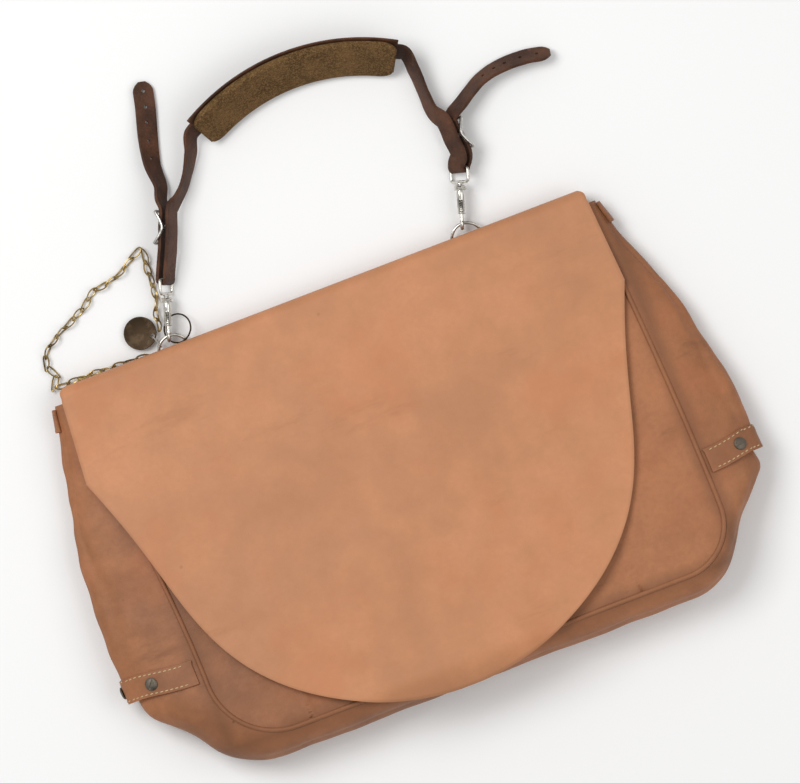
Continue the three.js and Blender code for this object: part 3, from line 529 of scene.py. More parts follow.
class Shade:
    """One material's nodes."""

    def __init__(self, name, **fixed):
        self.material = bpy.data.materials.new(name)
        self.material.use_nodes = True
        self.tree = self.material.node_tree
        self.tree.nodes.clear()
        self.surface = self.node("ShaderNodeBsdfPrincipled", {}, fixed)
        out = self.node("ShaderNodeOutputMaterial", {}, {"Surface": self.surface.outputs[0]})
        out.is_active_output = True
        where = self.node("ShaderNodeTexCoord")
        self.here = where.outputs["Object"]

    def node(self, kind, settings=None, inputs=None):
        made = self.tree.nodes.new(kind)
        for key, value in (settings or {}).items():
            setattr(made, key, value)
        for key, value in (inputs or {}).items():
            self.feed(made.inputs[key], value)
        return made

    def feed(self, socket, value):
        value = getattr(value, "socket", value)
        if isinstance(value, bpy.types.NodeSocket):
            self.tree.links.new(value, socket)
        elif isinstance(value, (tuple, list)) and len(value) == 3 and socket.type == "RGBA":
            socket.default_value = (*value, 1)
        else:
            socket.default_value = value

    def noise(self, scale, detail=3.0, rough=0.55, stretch=None):
        where = self.here
        if stretch:
            moved = self.node("ShaderNodeMapping", {}, {"Vector": where, "Scale": stretch})
            where = moved.outputs[0]
        inputs = {"Vector": where, "Scale": scale, "Detail": detail, "Roughness": rough}
        return Value(self, self.node("ShaderNodeTexNoise", {}, inputs).outputs[0])

    def cells(self, scale, feature="F1"):
        inputs = {"Vector": self.here, "Scale": scale}
        made = self.node("ShaderNodeTexVoronoi", {"feature": feature}, inputs)
        return Value(self, made.outputs["Distance"])

    def stored(self, name):
        made = self.node("ShaderNodeAttribute", {"attribute_name": name})
        return Value(self, made.outputs["Fac"])

    def mix(self, share, a, b, blend="MIX"):
        settings = {"data_type": "RGBA", "blend_type": blend}
        made = self.node("ShaderNodeMix", settings, {0: share, 6: a, 7: b})
        return made.outputs[2]

    def relief(self, height, strength, depth):
        inputs = {"Height": height, "Strength": strength, "Distance": depth * MM}
        self.feed(self.surface.inputs["Normal"], self.node("ShaderNodeBump", {}, inputs).outputs[0])

    def colour(self, value):
        self.feed(self.surface.inputs["Base Color"], value)

    def roughness(self, value):
        self.feed(self.surface.inputs["Roughness"], value)


def tinted(colour, share):
    """A colour made darker, below 1, or lighter, above 1."""
    return tuple(clamp(c * share) for c in colour)


def tanned_leather(name, tan, grain=1.0, stains=0.5, edge_shade_and_wear=0.5, creased=0.0, deepest=0.72):
    """Vegetable-tanned leather: uneven colour, rubbed marks, pores and darker edges: handled wear,
    and painted shade along the bag's seams.
    """
    shade = Shade(name, **{"Specular IOR Level": 0.35})
    broad, middle, fine = shade.noise(6.5, 3, 0.55), shade.noise(31, 5, 0.62), shade.noise(210, 4)
    deep, pale = tinted(tan, deepest), tinted(tan, 1.08)
    redder = (tan[0] * 0.93, tan[1] * 0.78, tan[2] * 0.68)
    tone = shade.mix((broad * 0.6 + middle * 0.4).between(0.3, 0.72), deep, pale)
    tone = shade.mix(shade.noise(11, 4, 0.6).between(0.5, 0.72) * 0.45, tone, redder)
    tone = shade.mix(fine.between(0.35, 0.7) * 0.16, tone, deep)
    rubbed = shade.noise(16, 5, 0.7, (0.35, 1.4, 1)).between(0.6, 0.74)
    tone = shade.mix(rubbed * stains, tone, tinted(tan, 0.62))
    specks = 1 - shade.cells(14).between(0.018, 0.03)
    tone = shade.mix(specks * 0.7 * stains, tone, tinted(tan, 0.3))
    edge = shade.stored("edge")
    # darker where edge is high: painted shade along the bag's seams with wear there, and handled
    # wear on the flap's cut edge
    tone = shade.mix(edge * edge_shade_and_wear, tone, tinted(tan, 0.45))
    shade.colour(tone)
    shade.roughness(broad * 0.16 + fine * 0.12 + 0.42 + rubbed * 0.06)
    pores = shade.cells(620) * 0.35 + shade.noise(900, 2) * 0.35
    folds = shade.noise(58, 4, 0.6) * (0.5 + creased * 2) + shade.noise(150, 3) * creased
    shade.relief(pores * 0.35 * grain + folds, 0.35, 0.9)


def brown_leather(name, brown):
    shade = Shade(name, **{"Specular IOR Level": 0.25})
    broad, fine = shade.noise(24, 4, 0.6), shade.noise(330, 4, 0.65)
    tone = shade.mix(broad.between(0.35, 0.68), tinted(brown, 0.5), tinted(brown, 1.35))
    cracks = 1 - shade.cells(420, "DISTANCE_TO_EDGE").between(0.0, 0.09)
    tone = shade.mix(cracks * 0.5, tone, tinted(brown, 0.3))
    worn = shade.noise(75, 5, 0.7).between(0.6, 0.75)
    tone = shade.mix(worn * 0.6, tone, (brown[0] * 2.1, brown[1] * 1.9, brown[2] * 1.6))
    shade.colour(tone)
    shade.roughness(fine * 0.25 + 0.42)
    shade.relief(shade.cells(560) * 0.5 + fine * 0.6 - cracks * 0.5, 0.5, 0.6)


def wool_felt(name, olive):
    shade = Shade(name, Roughness=0.96, **{"Specular IOR Level": 0.1})
    broad, tufts = shade.noise(34, 4, 0.6), shade.noise(520, 5, 0.75)
    tone = shade.mix(broad.between(0.35, 0.68), tinted(olive, 0.62), tinted(olive, 1.2))
    tone = shade.mix(tufts.between(0.45, 0.6) * 0.75, tone, tinted(olive, 1.9))
    tone = shade.mix(shade.noise(900, 3, 0.7).between(0.5, 0.62) * 0.6, tone, tinted(olive, 0.3))
    grime = shade.noise(60, 5, 0.7).between(0.56, 0.7)
    tone = shade.mix(grime * 0.6, tone, tinted(olive, 0.38))
    shade.colour(tone)
    shade.relief(tufts + shade.noise(900, 3, 0.7) * 0.7 + broad * 0.6, 1.0, 1.8)


def plated_metal(name, colour, dull, low=0.2, high=0.42):
    """Metal plate with worn and tarnished places."""
    shade = Shade(name, Metallic=1.0)
    broad, fine = shade.noise(70, 4, 0.65), shade.noise(600, 4, 0.7)
    tone = shade.mix(broad.between(0.48, 0.68) * 0.8, colour, dull)
    tone = shade.mix(fine.between(0.55, 0.75) * 0.35, tone, dull)
    shade.colour(tone)
    shade.roughness(broad * (high - low) + fine * 0.12 + low - 0.05)
    scratches = shade.noise(500, 3, 0.6, (0.15, 1, 1))
    shade.relief(scratches * 0.4 + fine * 0.3, 0.25, 0.15)


def linen_thread(name, cream):
    shade = Shade(name, Roughness=0.8)
    soil = shade.noise(160, 4, 0.6).between(0.4, 0.65)
    shade.colour(shade.mix(soil * 0.5, cream, tinted(cream, 0.55)))
    shade.relief(shade.noise(2600, 2), 0.6, 0.2)


def pale_floor(name):
    shade = Shade(name, Roughness=0.9)
    shade.colour(shade.mix(shade.noise(3, 2) * 0.1, (0.9, 0.9, 0.895), (0.87, 0.87, 0.865)))


# ---- what a user would change ----


def length(name, description, default, least):
    return bpy.props.FloatProperty(
        name=name, description=description, default=default, min=least, unit="LENGTH",
    )


def colour(name, description, default):
    return bpy.props.FloatVectorProperty(
        name=name, description=description, default=default, subtype="COLOR", min=0, max=1,
    )


class SatchelSizes(bpy.types.PropertyGroup):
    stitch_pitch: length("Stitch pitch", "From one stitch to the next on the bands", 0.0048, 0.002)
    stitch_length: length("Stitch length", "Length of the thread that shows", 0.0034, 0.001)
    link_pitch: length("Link pitch", "From one chain link to the next", 0.0112, 0.004)
    felt_thickness: length("Felt thickness", "Thickness of the shoulder pad's felt", 0.008, 0.002)
    camera_height: length("Camera height", "Height of the camera over the floor", 6.0, 1.0)


class SatchelColours(bpy.types.PropertyGroup):
    flap: colour("Flap", "Leather of the flap", (0.54, 0.238, 0.112))
    bag: colour("Bag", "Leather of the bag", (0.4, 0.16, 0.068))
    strap: colour("Strap", "Leather of the shoulder strap", (0.088, 0.034, 0.016))
    felt: colour("Felt", "Felt of the shoulder pad", (0.165, 0.094, 0.038))
    thread: colour("Thread", "Thread of the stitches", (0.62, 0.45, 0.24))


def sizes():
    return bpy.context.scene.satchel_sizes


def colours():
    return bpy.context.scene.satchel_colours


# ---- stage ----

FLOOR_GAP = 0.0004
CAMERA_AT, CAMERA_TURN, SENSOR = (0.0351, 0.0711), 20.93, 36
SEEN_WIDTH, SEEN_AT_HEIGHT = 0.736, 0.04
LIGHTS = (
    ("key_light", (-1.1, 1.3, 2.6), 1.5, 52),
    ("fill_light", (1.5, -0.6, 2.3), 2.2, 22),
)


class SATCHEL_OT_stage(bpy.types.Operator):
    """Puts up the floor, the soft lights and the camera"""

    bl_idname = "satchel.stage"
    bl_label = "Stage"

    def execute(self, context):
        deselect()
        bpy.ops.mesh.primitive_plane_add(size=12)
        floor = named("floor")
        floor.data.transform(Matrix.Translation((0, 0, -FLOOR_GAP)))
        pale_floor("pale_floor")
        floor.data.materials.append(bpy.data.materials["pale_floor"])
        world = bpy.data.worlds.new("studio")
        world.use_nodes = True
        background = world.node_tree.nodes["Background"]
        background.inputs["Color"].default_value = (1, 1, 1, 1)
        background.inputs["Strength"].default_value = 0.45
        context.scene.world = world
        for name, place, size, power in LIGHTS:
            turn = (-Vector(place)).to_track_quat("-Z", "Y").to_euler()
            bpy.ops.object.light_add(type="AREA", location=place, rotation=turn)
            lamp = named(name)
            lamp.data.size = size
            lamp.data.energy = power
        height = sizes().camera_height
        turn = (0, 0, -math.radians(CAMERA_TURN))
        bpy.ops.object.camera_add(location=(*CAMERA_AT, height), rotation=turn)
        camera = named("camera")
        camera.data.sensor_width = SENSOR
        camera.data.lens = SENSOR * (height - SEEN_AT_HEIGHT) / SEEN_WIDTH
        camera.data.clip_end = 50
        context.scene.camera = camera
        context.scene.view_settings.view_transform = "Standard"
        return {"FINISHED"}


class SATCHEL_OT_materials(bpy.types.Operator):
    """Makes the leathers, felt, metals and thread"""

    bl_idname = "satchel.materials"
    bl_label = "Materials"

    def execute(self, context):
        tans = colours()
        flap, bag = tuple(tans.flap), tuple(tans.bag)
        worn = {"grain": 1.2, "stains": 1.0, "deepest": 0.55}
        tanned_leather("flap_hide", flap, stains=0.3, deepest=0.82)
        tanned_leather("bag_hide", bag, edge_shade_and_wear=0.75, creased=0.8, **worn)
        tanned_leather("band_hide", tinted(bag, 0.92), edge_shade_and_wear=0.6, creased=0.5, **worn)
        tanned_leather("cut_edge", tinted(flap, 0.62), grain=2, stains=0.8, edge_shade_and_wear=0.0)
        brown_leather("strap_hide", tuple(tans.strap))
        wool_felt("wool_felt", tuple(tans.felt))
        plated_metal("bright_nickel", (0.7, 0.68, 0.63), (0.26, 0.24, 0.2), 0.16, 0.4)
        plated_metal("antique_brass", (0.4, 0.28, 0.11), (0.045, 0.035, 0.022), 0.25, 0.5)
        plated_metal("old_bronze", (0.05, 0.033, 0.02), (0.11, 0.075, 0.045), 0.4, 0.65)
        plated_metal("patina", (0.17, 0.14, 0.11), (0.05, 0.065, 0.05), 0.4, 0.7)
        linen_thread("thread", tuple(tans.thread))
        return {"FINISHED"}


# ---- key chain ----

CHAIN_REST = 3.9
CHAIN_HANGING = ((-151.5, 22, 16), (-151, 30, 11.5), (-149, 41, 6))
CHAIN_LYING = (
    (-145, 52), (-143.5, 66), (-142.5, 82), (-141.5, 94), (-146, 97), (-158, 90), (-177, 81),
    (-197, 77), (-212, 66), (-234, 55), (-254, 43), (-262, 29), (-257, 17), (-262, 8),
    (-250, 6.2), (-232, 7), (-208, 5.4), (-186, 4), (-170, 3.4),
)
CHAIN_ROUTE = CHAIN_HANGING + tuple((x, y, CHAIN_REST) for x, y in CHAIN_LYING)


def chain_link():
    """A teardrop of wire, folded at its wide end as a ladder chain's links are."""
    points = []
    for a in circle(20):
        narrow = 1 - 0.34 * math.cos(a)
        points.append((7.4 * math.cos(a), 2.75 * narrow * math.sin(a), 0.9 * math.cos(2 * a)))
    return wire("link", points, 0.78, sides=6, closed=True)


class SATCHEL_OT_chain(bpy.types.Operator):
    """Lays out the key chain, link by link"""

    bl_idname = "satchel.chain"
    bl_label = "Key chain"

    def execute(self, context):
        line = through([to_metres(Vector(p)) for p in CHAIN_ROUTE], 8)
        matrices = []
        for i, (place, way) in enumerate(spaced(line, sizes().link_pitch)):
            side = UP.cross(way).normalized()
            tipped = math.radians(35 if i % 2 else -50) + 0.3 * math.sin(i * 2.3)
            roll = Matrix.Rotation(tipped, 4, way)
            matrices.append(Matrix.Translation(place) @ roll @ facing(way, side, way.cross(side)))
        chain = repeated("chain_links", chain_link(), matrices)
        finished(chain, "antique_brass", "bag", "chain_brass", "key_chain")
        length = sum((b - a).length for a, b in zip(line, line[1:]))
        return {"FINISHED"}


# ---- bag ----


DARTS = ((-150, -328, -147, -361), (170, -322, 176, -358))


def panel_point(u, v):
    """The front panel's surface, with two sewn darts and a soft sag."""
    m = lerp(BOTTOM_END, 1, v)
    place = front_seam(LEFT, m, -TUCKED).lerp(front_seam(RIGHT, m, -TUCKED), u)
    down = clamp((-place.y - MOUTH_DROP) / (SEAM_DROP - MOUTH_DROP), 0, 0.95)
    rise = 7 * (1 - (2 * u - 1) ** 2) * math.sin(math.pi * down)
    inner = min(1, 12 * u, 12 * (1 - u))
    rise += (ripple(place, 60, 1.6) + ripple(place, 24, 0.8, 5)) * inner
    for x0, y0, x1, y1 in DARTS:
        near = place.x - lerp(x0, x1, clamp((place.y - y0) / (y1 - y0)))
        pleat = 1.3 * ridge(near, 2, 2.4) - 1.2 * ridge(near, 0, 1.1)
        rise += ease(place.y, y0 + 6, y0 - 6) * pleat
    place.z += rise
    return place


def seam_shade_and_wear(place):
    """How near a place is to the bag's seams, from 0 to 1, for darker leather there: painted shade
    at the seams, with wear.
    """
    x, y = place.x / MM, place.y / MM - FOLD_LINE
    nearest = min(abs(y + SEAM_DROP), abs(x + 226), abs(x - 272))
    return clamp(1 - nearest / 13)


def whole_seam(place, lift):
    """A seam from the left end of the bag's mouth, down round the bottom, to the right end."""
    line = []
    for i in range(-120, 121):
        p = place(LEFT if i < 0 else RIGHT, abs(i) / 120)
        line.append(Vector((p.x, p.y + FOLD_LINE, p.z + lift)))
    return line


def gusset_patch(side, low, high, v0=0.0, v1=1.0):
    """The part of a gusset from m = low to high and v = v0 to v1, its outer face up."""
    a, b = (low, high) if side["dir"] > 0 else (high, low)
    return lambda u, v: worn_gusset(side, lerp(a, b, u), lerp(v0, v1, v))


def under_band(side):
    """Where on the seam the side gusset and the bottom gusset meet."""
    return along_side(side, side["band"] - BAND_WIDTH / 6)


class SATCHEL_OT_bag(bpy.types.Operator):
    """Builds the bag's panels, gussets and welts"""

    bl_idname = "satchel.bag"
    bl_label = "Bag"

    def execute(self, context):
        bag_piece(sheet_of("front_leather", 150, 130, panel_point), "front_panel")
        for side in SIDES:
            name = f"gusset_{side['name']}"
            skin = gusset_patch(side, under_band(side) - 0.012, 1)
            bag_piece(sheet_of(f"{name}_leather", 90, 50, skin), name)
        left, right = (under_band(side) + 0.006 for side in SIDES)

        def bottom(u, v):
            t = lerp(-left, right, u)
            side, m = (LEFT if t < 0 else RIGHT), abs(t)
            place = worn_gusset(side, m, v, 7 * ease(m, band_end(side) - 0.03, band_end(side)))
            # the bottom sags between its corners, with a fold along it
            place.y += 1.8 * ridge(v, 0.66, 0.07) * (1 - ease(m, 0.3, 0.42))
            return place

        bag_piece(sheet_of("gusset_bottom_leather", 220, 50, bottom), "gusset_bottom")
        for name, place, lift in (("front", front_seam, 1.1), ("back", back_seam, 0)):
            cord = wire(f"{name}_welt", whole_seam(place, lift), PIPING_R, sides=12)
            note(cord, "edge", 0.55)
            finished(cord, "bag_hide", "bag", "bag_leather", f"{name}_piping")
        dressed("back_panel", "bag_hide")
        return {"FINISHED"}


# ---- bands, stitches and rivets ----


STITCH_WIDTH, STITCH_HEIGHT, STITCH_SKEW, STITCH_INSET = 0.0011, 0.0009, 7, 2.6
BAND_THICK = 2.2


def band_skin(side, low, high, v0, v1):
    """The gusset under a band that runs from y = low to y = high."""
    return gusset_patch(side, along_side(side, low), along_side(side, high), v0, v1)


def stitch_model():
    deselect()
    bpy.ops.mesh.primitive_uv_sphere_add(segments=6, ring_count=5, radius=0.5)
    piece = named("stitch")
    size = Matrix.Diagonal((sizes().stitch_length, STITCH_WIDTH, STITCH_HEIGHT, 1))
    piece.data.transform(size @ Matrix.Rotation(math.pi / 2, 4, "Y"))
    return piece


def stitch_rows(name, surface, rows, lift):
    """Stitches along rows of a surface, each row a fixed u, running along v."""
    matrices = []
    for u in rows:
        line = [surface(u, lerp(0.03, 0.97, i / 160)) for i in range(161)]
        for place, way in spaced(line, sizes().stitch_pitch / MM):
            normal = normal_at(surface, u, clamp(nearest_share(line, place)))
            side = normal.cross(way).normalized()
            skew = Matrix.Rotation(math.radians(STITCH_SKEW), 4, normal)
            turn = skew @ facing(way, side, way.cross(side))
            matrices.append(Matrix.Translation(to_metres(place + normal * lift)) @ turn)
    return repeated(name, stitch_model(), matrices)


def nearest_share(line, place):
    best = min(range(len(line)), key=lambda i: (line[i] - place).length_squared)
    return lerp(0.03, 0.97, best / (len(line) - 1))


def rivet_head():
    """A low domed rivet with a driver's slot, along +Y."""
    profile = ((0, -1.2), (5.9, -1.2), (6.0, -0.2), (5.4, 0.35), (4.2, 0.75), (2.2, 1.0), (0, 1.05))
    head = turned("rivet", profile, 28)
    slot = Matrix.Rotation(math.radians(38), 4, "Y") @ Matrix.Translation((0, 0.0011, 0))
    return cut_away(head, box_of("slot", (10.4, 1.3, 1.3), slot))


class SATCHEL_OT_bands(bpy.types.Operator):
    """Builds the corner and mouth bands with their stitches and rivets"""

    bl_idname = "satchel.bands"
    bl_label = "Bands"

    def execute(self, context):
        for side in SIDES:
            name = side["name"]
            half = BAND_WIDTH / 2
            skin = band_skin(side, side["band"] - half, side["band"] + half, 0.04, 0.985)

            def bowed(u, v, skin=skin, side=side):
                # the band's ends dip towards the bottom of the bag
                place = skin(u, v)
                place.y -= 5 * ease(v, 0.7, 1.0) + 3 * (1 - ease(v, 0.0, 0.4))
                high = u if side["dir"] > 0 else 1 - u
                return place - seam(side, 0.6)[1] * 1.2 * ease(high, 0.8, 1.0)

            band = sheet_of(f"corner_band_{name}_leather", 18, 60, over(bowed, LEATHER + 0.2))
            worn = {"look": "band_hide", "thick": BAND_THICK, "round_edge": 0.7, "edge": 0.15}
            bag_piece(band, f"corner_band_{name}", **worn)
            rows = (STITCH_INSET / BAND_WIDTH, 1 - STITCH_INSET / BAND_WIDTH)
            sewn = stitch_rows(f"band_stitches_{name}", bowed, rows, LEATHER + 1.55)
            finished(sewn, "thread", "bag", "bag_leather")

            mouth = over(band_skin(side, -34, -13, 0.14, 0.7), LEATHER + 0.8)
            loop = sheet_of(f"mouth_band_{name}_leather", 14, 30, mouth)
            worn = {"look": "band_hide", "round_edge": 0.5, "edge": 0.2}
            bag_piece(loop, f"mouth_band_{name}", **worn)

            for place_name, v in zip(("front", "back"), RIVETS_AT[name]):
                normal = normal_at(bowed, 0.5, v)
                top = bowed(0.5, v) + normal * (LEATHER * 1.5 + 1.3)
                turn = Vector((0, 1, 0)).rotation_difference(normal).to_matrix().to_4x4()
                head = carried(rivet_head(), Matrix.Translation(to_metres(top)) @ turn)
                head.name = f"rivet_{name}_{place_name}"
                finished(head, "patina", "bag", "rivet", f"band_rivet_{name}_{place_name}")
        return {"FINISHED"}


# ---- flap ----


def flap_half(drop):
    if drop < FLAP_KINK:
        return lerp(FLAP_TOP_HALF, FLAP_HALF, max(0, drop) / FLAP_KINK)
    t = min(1, (drop - FLAP_KINK) / (FLAP_DROP - FLAP_KINK))
    share = min(1, t / 0.85)
    pinch = 0.12 * math.sin(math.pi * share) * (1 - share)
    return (math.sqrt(1 - t * t) - pinch) * FLAP_HALF


def flap_z(x, y):
    across = 1 - (x / FLAP_HALF) ** 2
    dome = 9 * across * ease(-y, -FOLD_CENTRE, 140)
    over_end = max(0, -y - SEAM_DROP + 6)
    lift = ripple(Vector((x, y, 0)), 85, 2.0, 2) + ripple(Vector((x, y, 0)), 33, 0.6, 9)
    lift *= ease(-y, 8, 50)
    return front_z(y) + PIPING_R + 0.6 + FLAP_LEATHER / 2 + dome + lift + 0.5 - over_end**2 / 60


ROOT_LINE = ((-46, 6.8), (-34, 6.8), (-25, 7.8), (-15, 11.4), (-5, 14.7), (2.5, 17.1))


def flap_rows():
    """The flap from its sewn root, round the fold and down to its tip: (y, z or None, half)."""
    root = through([Vector((0, y, z)) for y, z in ROOT_LINE], 4)
    rows = [(p.y, p.z, lerp(244, 253, i / len(root))) for i, p in enumerate(root)]
    for i in range(14):
        a = math.radians(lerp(0, 90, i / 13))
        half = lerp(253.5, FLAP_TOP_HALF, ease(i, 0, 9))
        rows.append((FOLD_CENTRE + FOLD_R * math.cos(a), FOLD_Z + FOLD_R * math.sin(a), half))
    for i in range(1, 31):
        rows.append((lerp(FOLD_CENTRE, -FLAP_KINK, i / 30), None, None))
    for i in range(1, 91):
        a = math.radians(i / 90 * 88)
        rows.append((-lerp(FLAP_KINK, FLAP_DROP, math.sin(a)), None, None))
    return rows


def flap_outline():
    """Points along the flap's cut edge, for the burnished rim."""
    drops = [lerp(-2, FLAP_KINK, i / 60) for i in range(60)]
    drops += [lerp(FLAP_KINK, FLAP_DROP, math.sin(i / 400 * math.pi / 2)) for i in range(401)]
    line = [Vector((side * flap_half(d), -d, 0)) for d in drops for side in (-1, 1)]
    tree = KDTree(len(line))
    for i, p in enumerate(line):
        tree.insert(p, i)
    tree.balance()
    return tree


class SATCHEL_OT_flap(bpy.types.Operator):
    """Builds the flap and its sewn root as one sheet of thick leather"""

    bl_idname = "satchel.flap"
    bl_label = "Flap"

    def execute(self, context):
        rows = flap_rows()

        def place(u, v):
            y, z, half = rows[round((1 - v) * (len(rows) - 1))]
            x = (2 * u - 1) * (half or flap_half(-y))
            return Vector((x, y, flap_z(x, y) if z is None else z))

        flap = sheet_of("flap_leather", 150, len(rows) - 1, place)
        modify(flap, "SOLIDIFY", thickness=FLAP_LEATHER * MM, offset=0, material_offset_rim=1)
        tidy(flap, merge=1e-7)
        tree = flap_outline()

        def rim(point):
            flat = Vector((point.x / MM, point.y / MM - FOLD_LINE, 0))
            return tree.find(flat)[2] / 20 if point.z > 0.022 else 1.0

        note(flap, "rim", rim)
        note(flap, "edge", lambda point: clamp(1 - rim(point) * 20 / 2.5) * 0.8)
        finished(flap, ("flap_hide", "cut_edge"), None, "flap_leather", "flap", "flap_root")
        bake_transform(flap)
        return {"FINISHED"}


# ---- rings and chapes ----

CHAPE_WIDTH, CHAPE_THICK, CHAPE_BEND = 14, 1.5, 3.55


def ring_matrix(x):
    along = Vector((0, math.cos(RING_TILT), math.sin(RING_TILT)))
    centre = Vector((x, *PIVOT)) + along * RING_SET
    return axes(Vector((1, 0, 0)), along, Vector((1, 0, 0)).cross(along), centre)


def round_ring(name, radius, thick):
    """A closed ring of round wire."""
    points = [(radius * math.cos(a), radius * math.sin(a), 0) for a in circle(56)]
    return wire(name, points, thick, sides=14, closed=True)


class SATCHEL_OT_rings(bpy.types.Operator):
    """Builds the strap rings and the chapes that hold them"""

    bl_idname = "satchel.rings"
    bl_label = "Rings"

    def execute(self, context):
        for name, x in RING_X.items():
            ring = carried(round_ring(f"steel_ring_{name}", RING_R, RING_WIRE), ring_matrix(x))
            finished(ring, "bright_nickel", f"ring_{name}", "nickel", f"ring_{name}")
            line = [Vector((0, y, 0.95)) for y in (-60, -50, -40, -30, -20, PIVOT[0] - 1)]
            for a in arc(-90, 90, 12):
                y, z = CHAPE_BEND * math.cos(a), CHAPE_BEND * math.sin(a)
                line.append(Vector((0, PIVOT[0] + y, PIVOT[1] + z)))

            def strip(u, v, line=line, x=x):
                p = line[round(v * (len(line) - 1))].copy()
                p.x = x + (u - 0.5) * CHAPE_WIDTH
                return p

            chape = sheet_of(f"chape_{name}", 8, len(line) - 1, strip)
            bag_piece(chape, f"ring_chape_{name}", edge=0.4, thick=CHAPE_THICK)
            dressed(f"chape_rivet_{name}", "patina")
        return {"FINISHED"}


# ---- snap hooks ----


BARREL = (
    (2.25, 9.2), (3.3, 9.0), (3.75, 9.6), (3.5, 10.4), (3.5, 24), (3.75, 24.6), (3.75, 30),
    (3.3, 31), (0, 31), (0, 28.5), (2.25, 28.4), (2.25, 9.2),
)
COLLAR = (
    (2.35, 31.2), (4.6, 30.7), (5.9, 31.2), (6.15, 32.0), (5.6, 32.9), (5.9, 33.8),
    (5.2, 34.8), (3.6, 35.4), (2.35, 35.5), (2.35, 31.2),
)
BOLT = ((0, 1.4), (1.3, 1.5), (1.85, 2.1), (1.85, 14.2), (1.5, 14.5), (0, 14.5))
KNOB = ((0, 0), (1.1, 0), (1.1, 3.6), (1.5, 4.1), (1.5, 4.7), (1.0, 5.2), (0, 5.3))
EYE_POST = ((0, 32.3), (2.0, 32.4), (2.0, 36), (3.0, 36.6), (3.0, 37.4), (2.2, 38.6), (0, 38.9))
EYE_HALF_WIDTH, EYE_HALF_LENGTH = 11.9, 6.75
SPRING_FROM, SPRING_TO, SPRING_R, SPRING_TURNS = 15.2, 27.8, 1.5, 6


def snap_place(name):
    """Where the hook bears on the far side of its ring."""
    return Vector((RING_X[name], RING_FAR, SNAP_Z))


def snap_matrix(name):
    along, across = heading(SNAP_TURN[name])
    return axes(across, along, UP, snap_place(name))


def snap_body(name):
    bow = [(0, y, -HOOK_R) for y in (33, 26, 18, 10, 4)]
    bow += [(0, -HOOK_R * math.sin(a), -HOOK_R * math.cos(a)) for a in arc(0, 180, 12)]
    bow.append((0, 1.0, HOOK_R))
    hook = wire("hook", bow, 1.75, sides=14, taper=lambda t: 0.92 + 0.13 * math.sin(math.pi * t))
    barrel = carried(turned("barrel", BARREL, 28), Matrix.Translation((0, 0, HOOK_R * MM)))
    slot = Matrix.Translation(Vector((0, 16, HOOK_R + 3.8)) * MM)
    barrel = cut_away(barrel, box_of("slot", (3.2, 11.6, 7.6), slot))
    return joined(f"snap_{name}_body", hook, barrel, turned("collar", COLLAR, 32))


def snap_bolt(name):
    bolt = carried(turned("bolt", BOLT, 20), Matrix.Translation((0, 0, HOOK_R * MM)))
    place = Matrix.Translation(Vector((0, 12, HOOK_R)) * MM)
    knob = carried(turned("knob", KNOB, 18), place @ Matrix.Rotation(math.pi / 2, 4, "X"))
    return joined(f"snap_{name}_bolt", bolt, knob)


def snap_eye(name):
    """The swivel's rounded square eye and its post."""
    end = ENDS[name]
    width = leaned(Vector((end["dir"], 0, 0)), end["lean"])
    points = []
    for a in circle(64):
        y = EYE_BAR - EYE_HALF_LENGTH + squared(math.sin(a), 0.4) * EYE_HALF_LENGTH
        points.append(width * (squared(math.cos(a), 0.26) * EYE_HALF_WIDTH) + Vector((0, y, 0)))
    loop = wire("eye", points, 1.5, sides=12, closed=True)
    return joined(f"snap_{name}_eye", loop, turned("post", EYE_POST, 20))


def snap_spring(name):
    """The coil behind the bolt, inside the barrel."""
    coil, count = [], SPRING_TURNS * 16
    for i in range(count + 1):
        a = 2 * math.pi * i / 16
        y = lerp(SPRING_FROM, SPRING_TO, i / count)
        coil.append((SPRING_R * math.cos(a), y, HOOK_R + SPRING_R * math.sin(a)))
    return wire(f"snap_{name}_spring", coil, 0.35, sides=8)


class SATCHEL_OT_snaps(bpy.types.Operator):
    """Builds the bolt snaps that clip the strap to its rings"""

    bl_idname = "satchel.snaps"
    bl_label = "Snap hooks"

    def execute(self, context):
        for name in RING_X:
            matrix = snap_matrix(name)
            for build, part, body in (
                (snap_body, "body", "snap_" + name), (snap_bolt, "bolt", "bolt_" + name),
                (snap_eye, "eye", "strap"), (snap_spring, "spring", "snap_" + name),
            ):
                piece = carried(build(name), matrix)
                finished(piece, "bright_nickel", body, "nickel", f"snap_{part}_{name}")
            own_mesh(piece)
        return {"FINISHED"}


# ---- shoulder strap ----


def edge_on(name, side):
    """The directions of a leaning strap's upper edge and of its inside."""
    side, lean = side * ENDS[name]["dir"], ENDS[name]["lean"]
    return leaned(side, lean), leaned(-side, 90 - lean)


def strap_frame(name):
    """At a buckle: along the strap, its upper edge's direction, its inside and the centre."""
    end = ENDS[name]
    along, side = heading(end["turn"])
    return along, *edge_on(name, side), Vector((*end["at"], BUCKLE_Z))


def strap_end(name):
    """The strap through the buckle, round the eye's bar and back, tail side first."""
    along, width, inside, centre = strap_frame(name)
    way, side = heading(SNAP_TURN[name])
    wide, inner = edge_on(name, side)
    bar = snap_place(name) + way * EYE_BAR
    steps = (STRAIGHT, 0, -STRAIGHT)
    stations = [(centre + along * s - inside * LAYER_GAP, width) for s in steps]
    stations.append((bar + way * 2.5 - inner * BEND_R, wide))
    for a in arc(0, 180, 6):
        stations.append((bar - way * (BEND_R * math.sin(a)) - inner * (BEND_R * math.cos(a)), wide))
    stations.append((bar + way * 2.5 + inner * BEND_R, wide))
    return stations + [(centre + along * s + inside * LAYER_GAP, width) for s in steps[::-1]]


def leaning(x, y, z, turn, lean):
    """A station of the strap: its place, and its upper edge's direction."""
    a = math.radians(turn)
    return Vector((x, y, z)), leaned(Vector((math.cos(a), math.sin(a), 0)), lean)


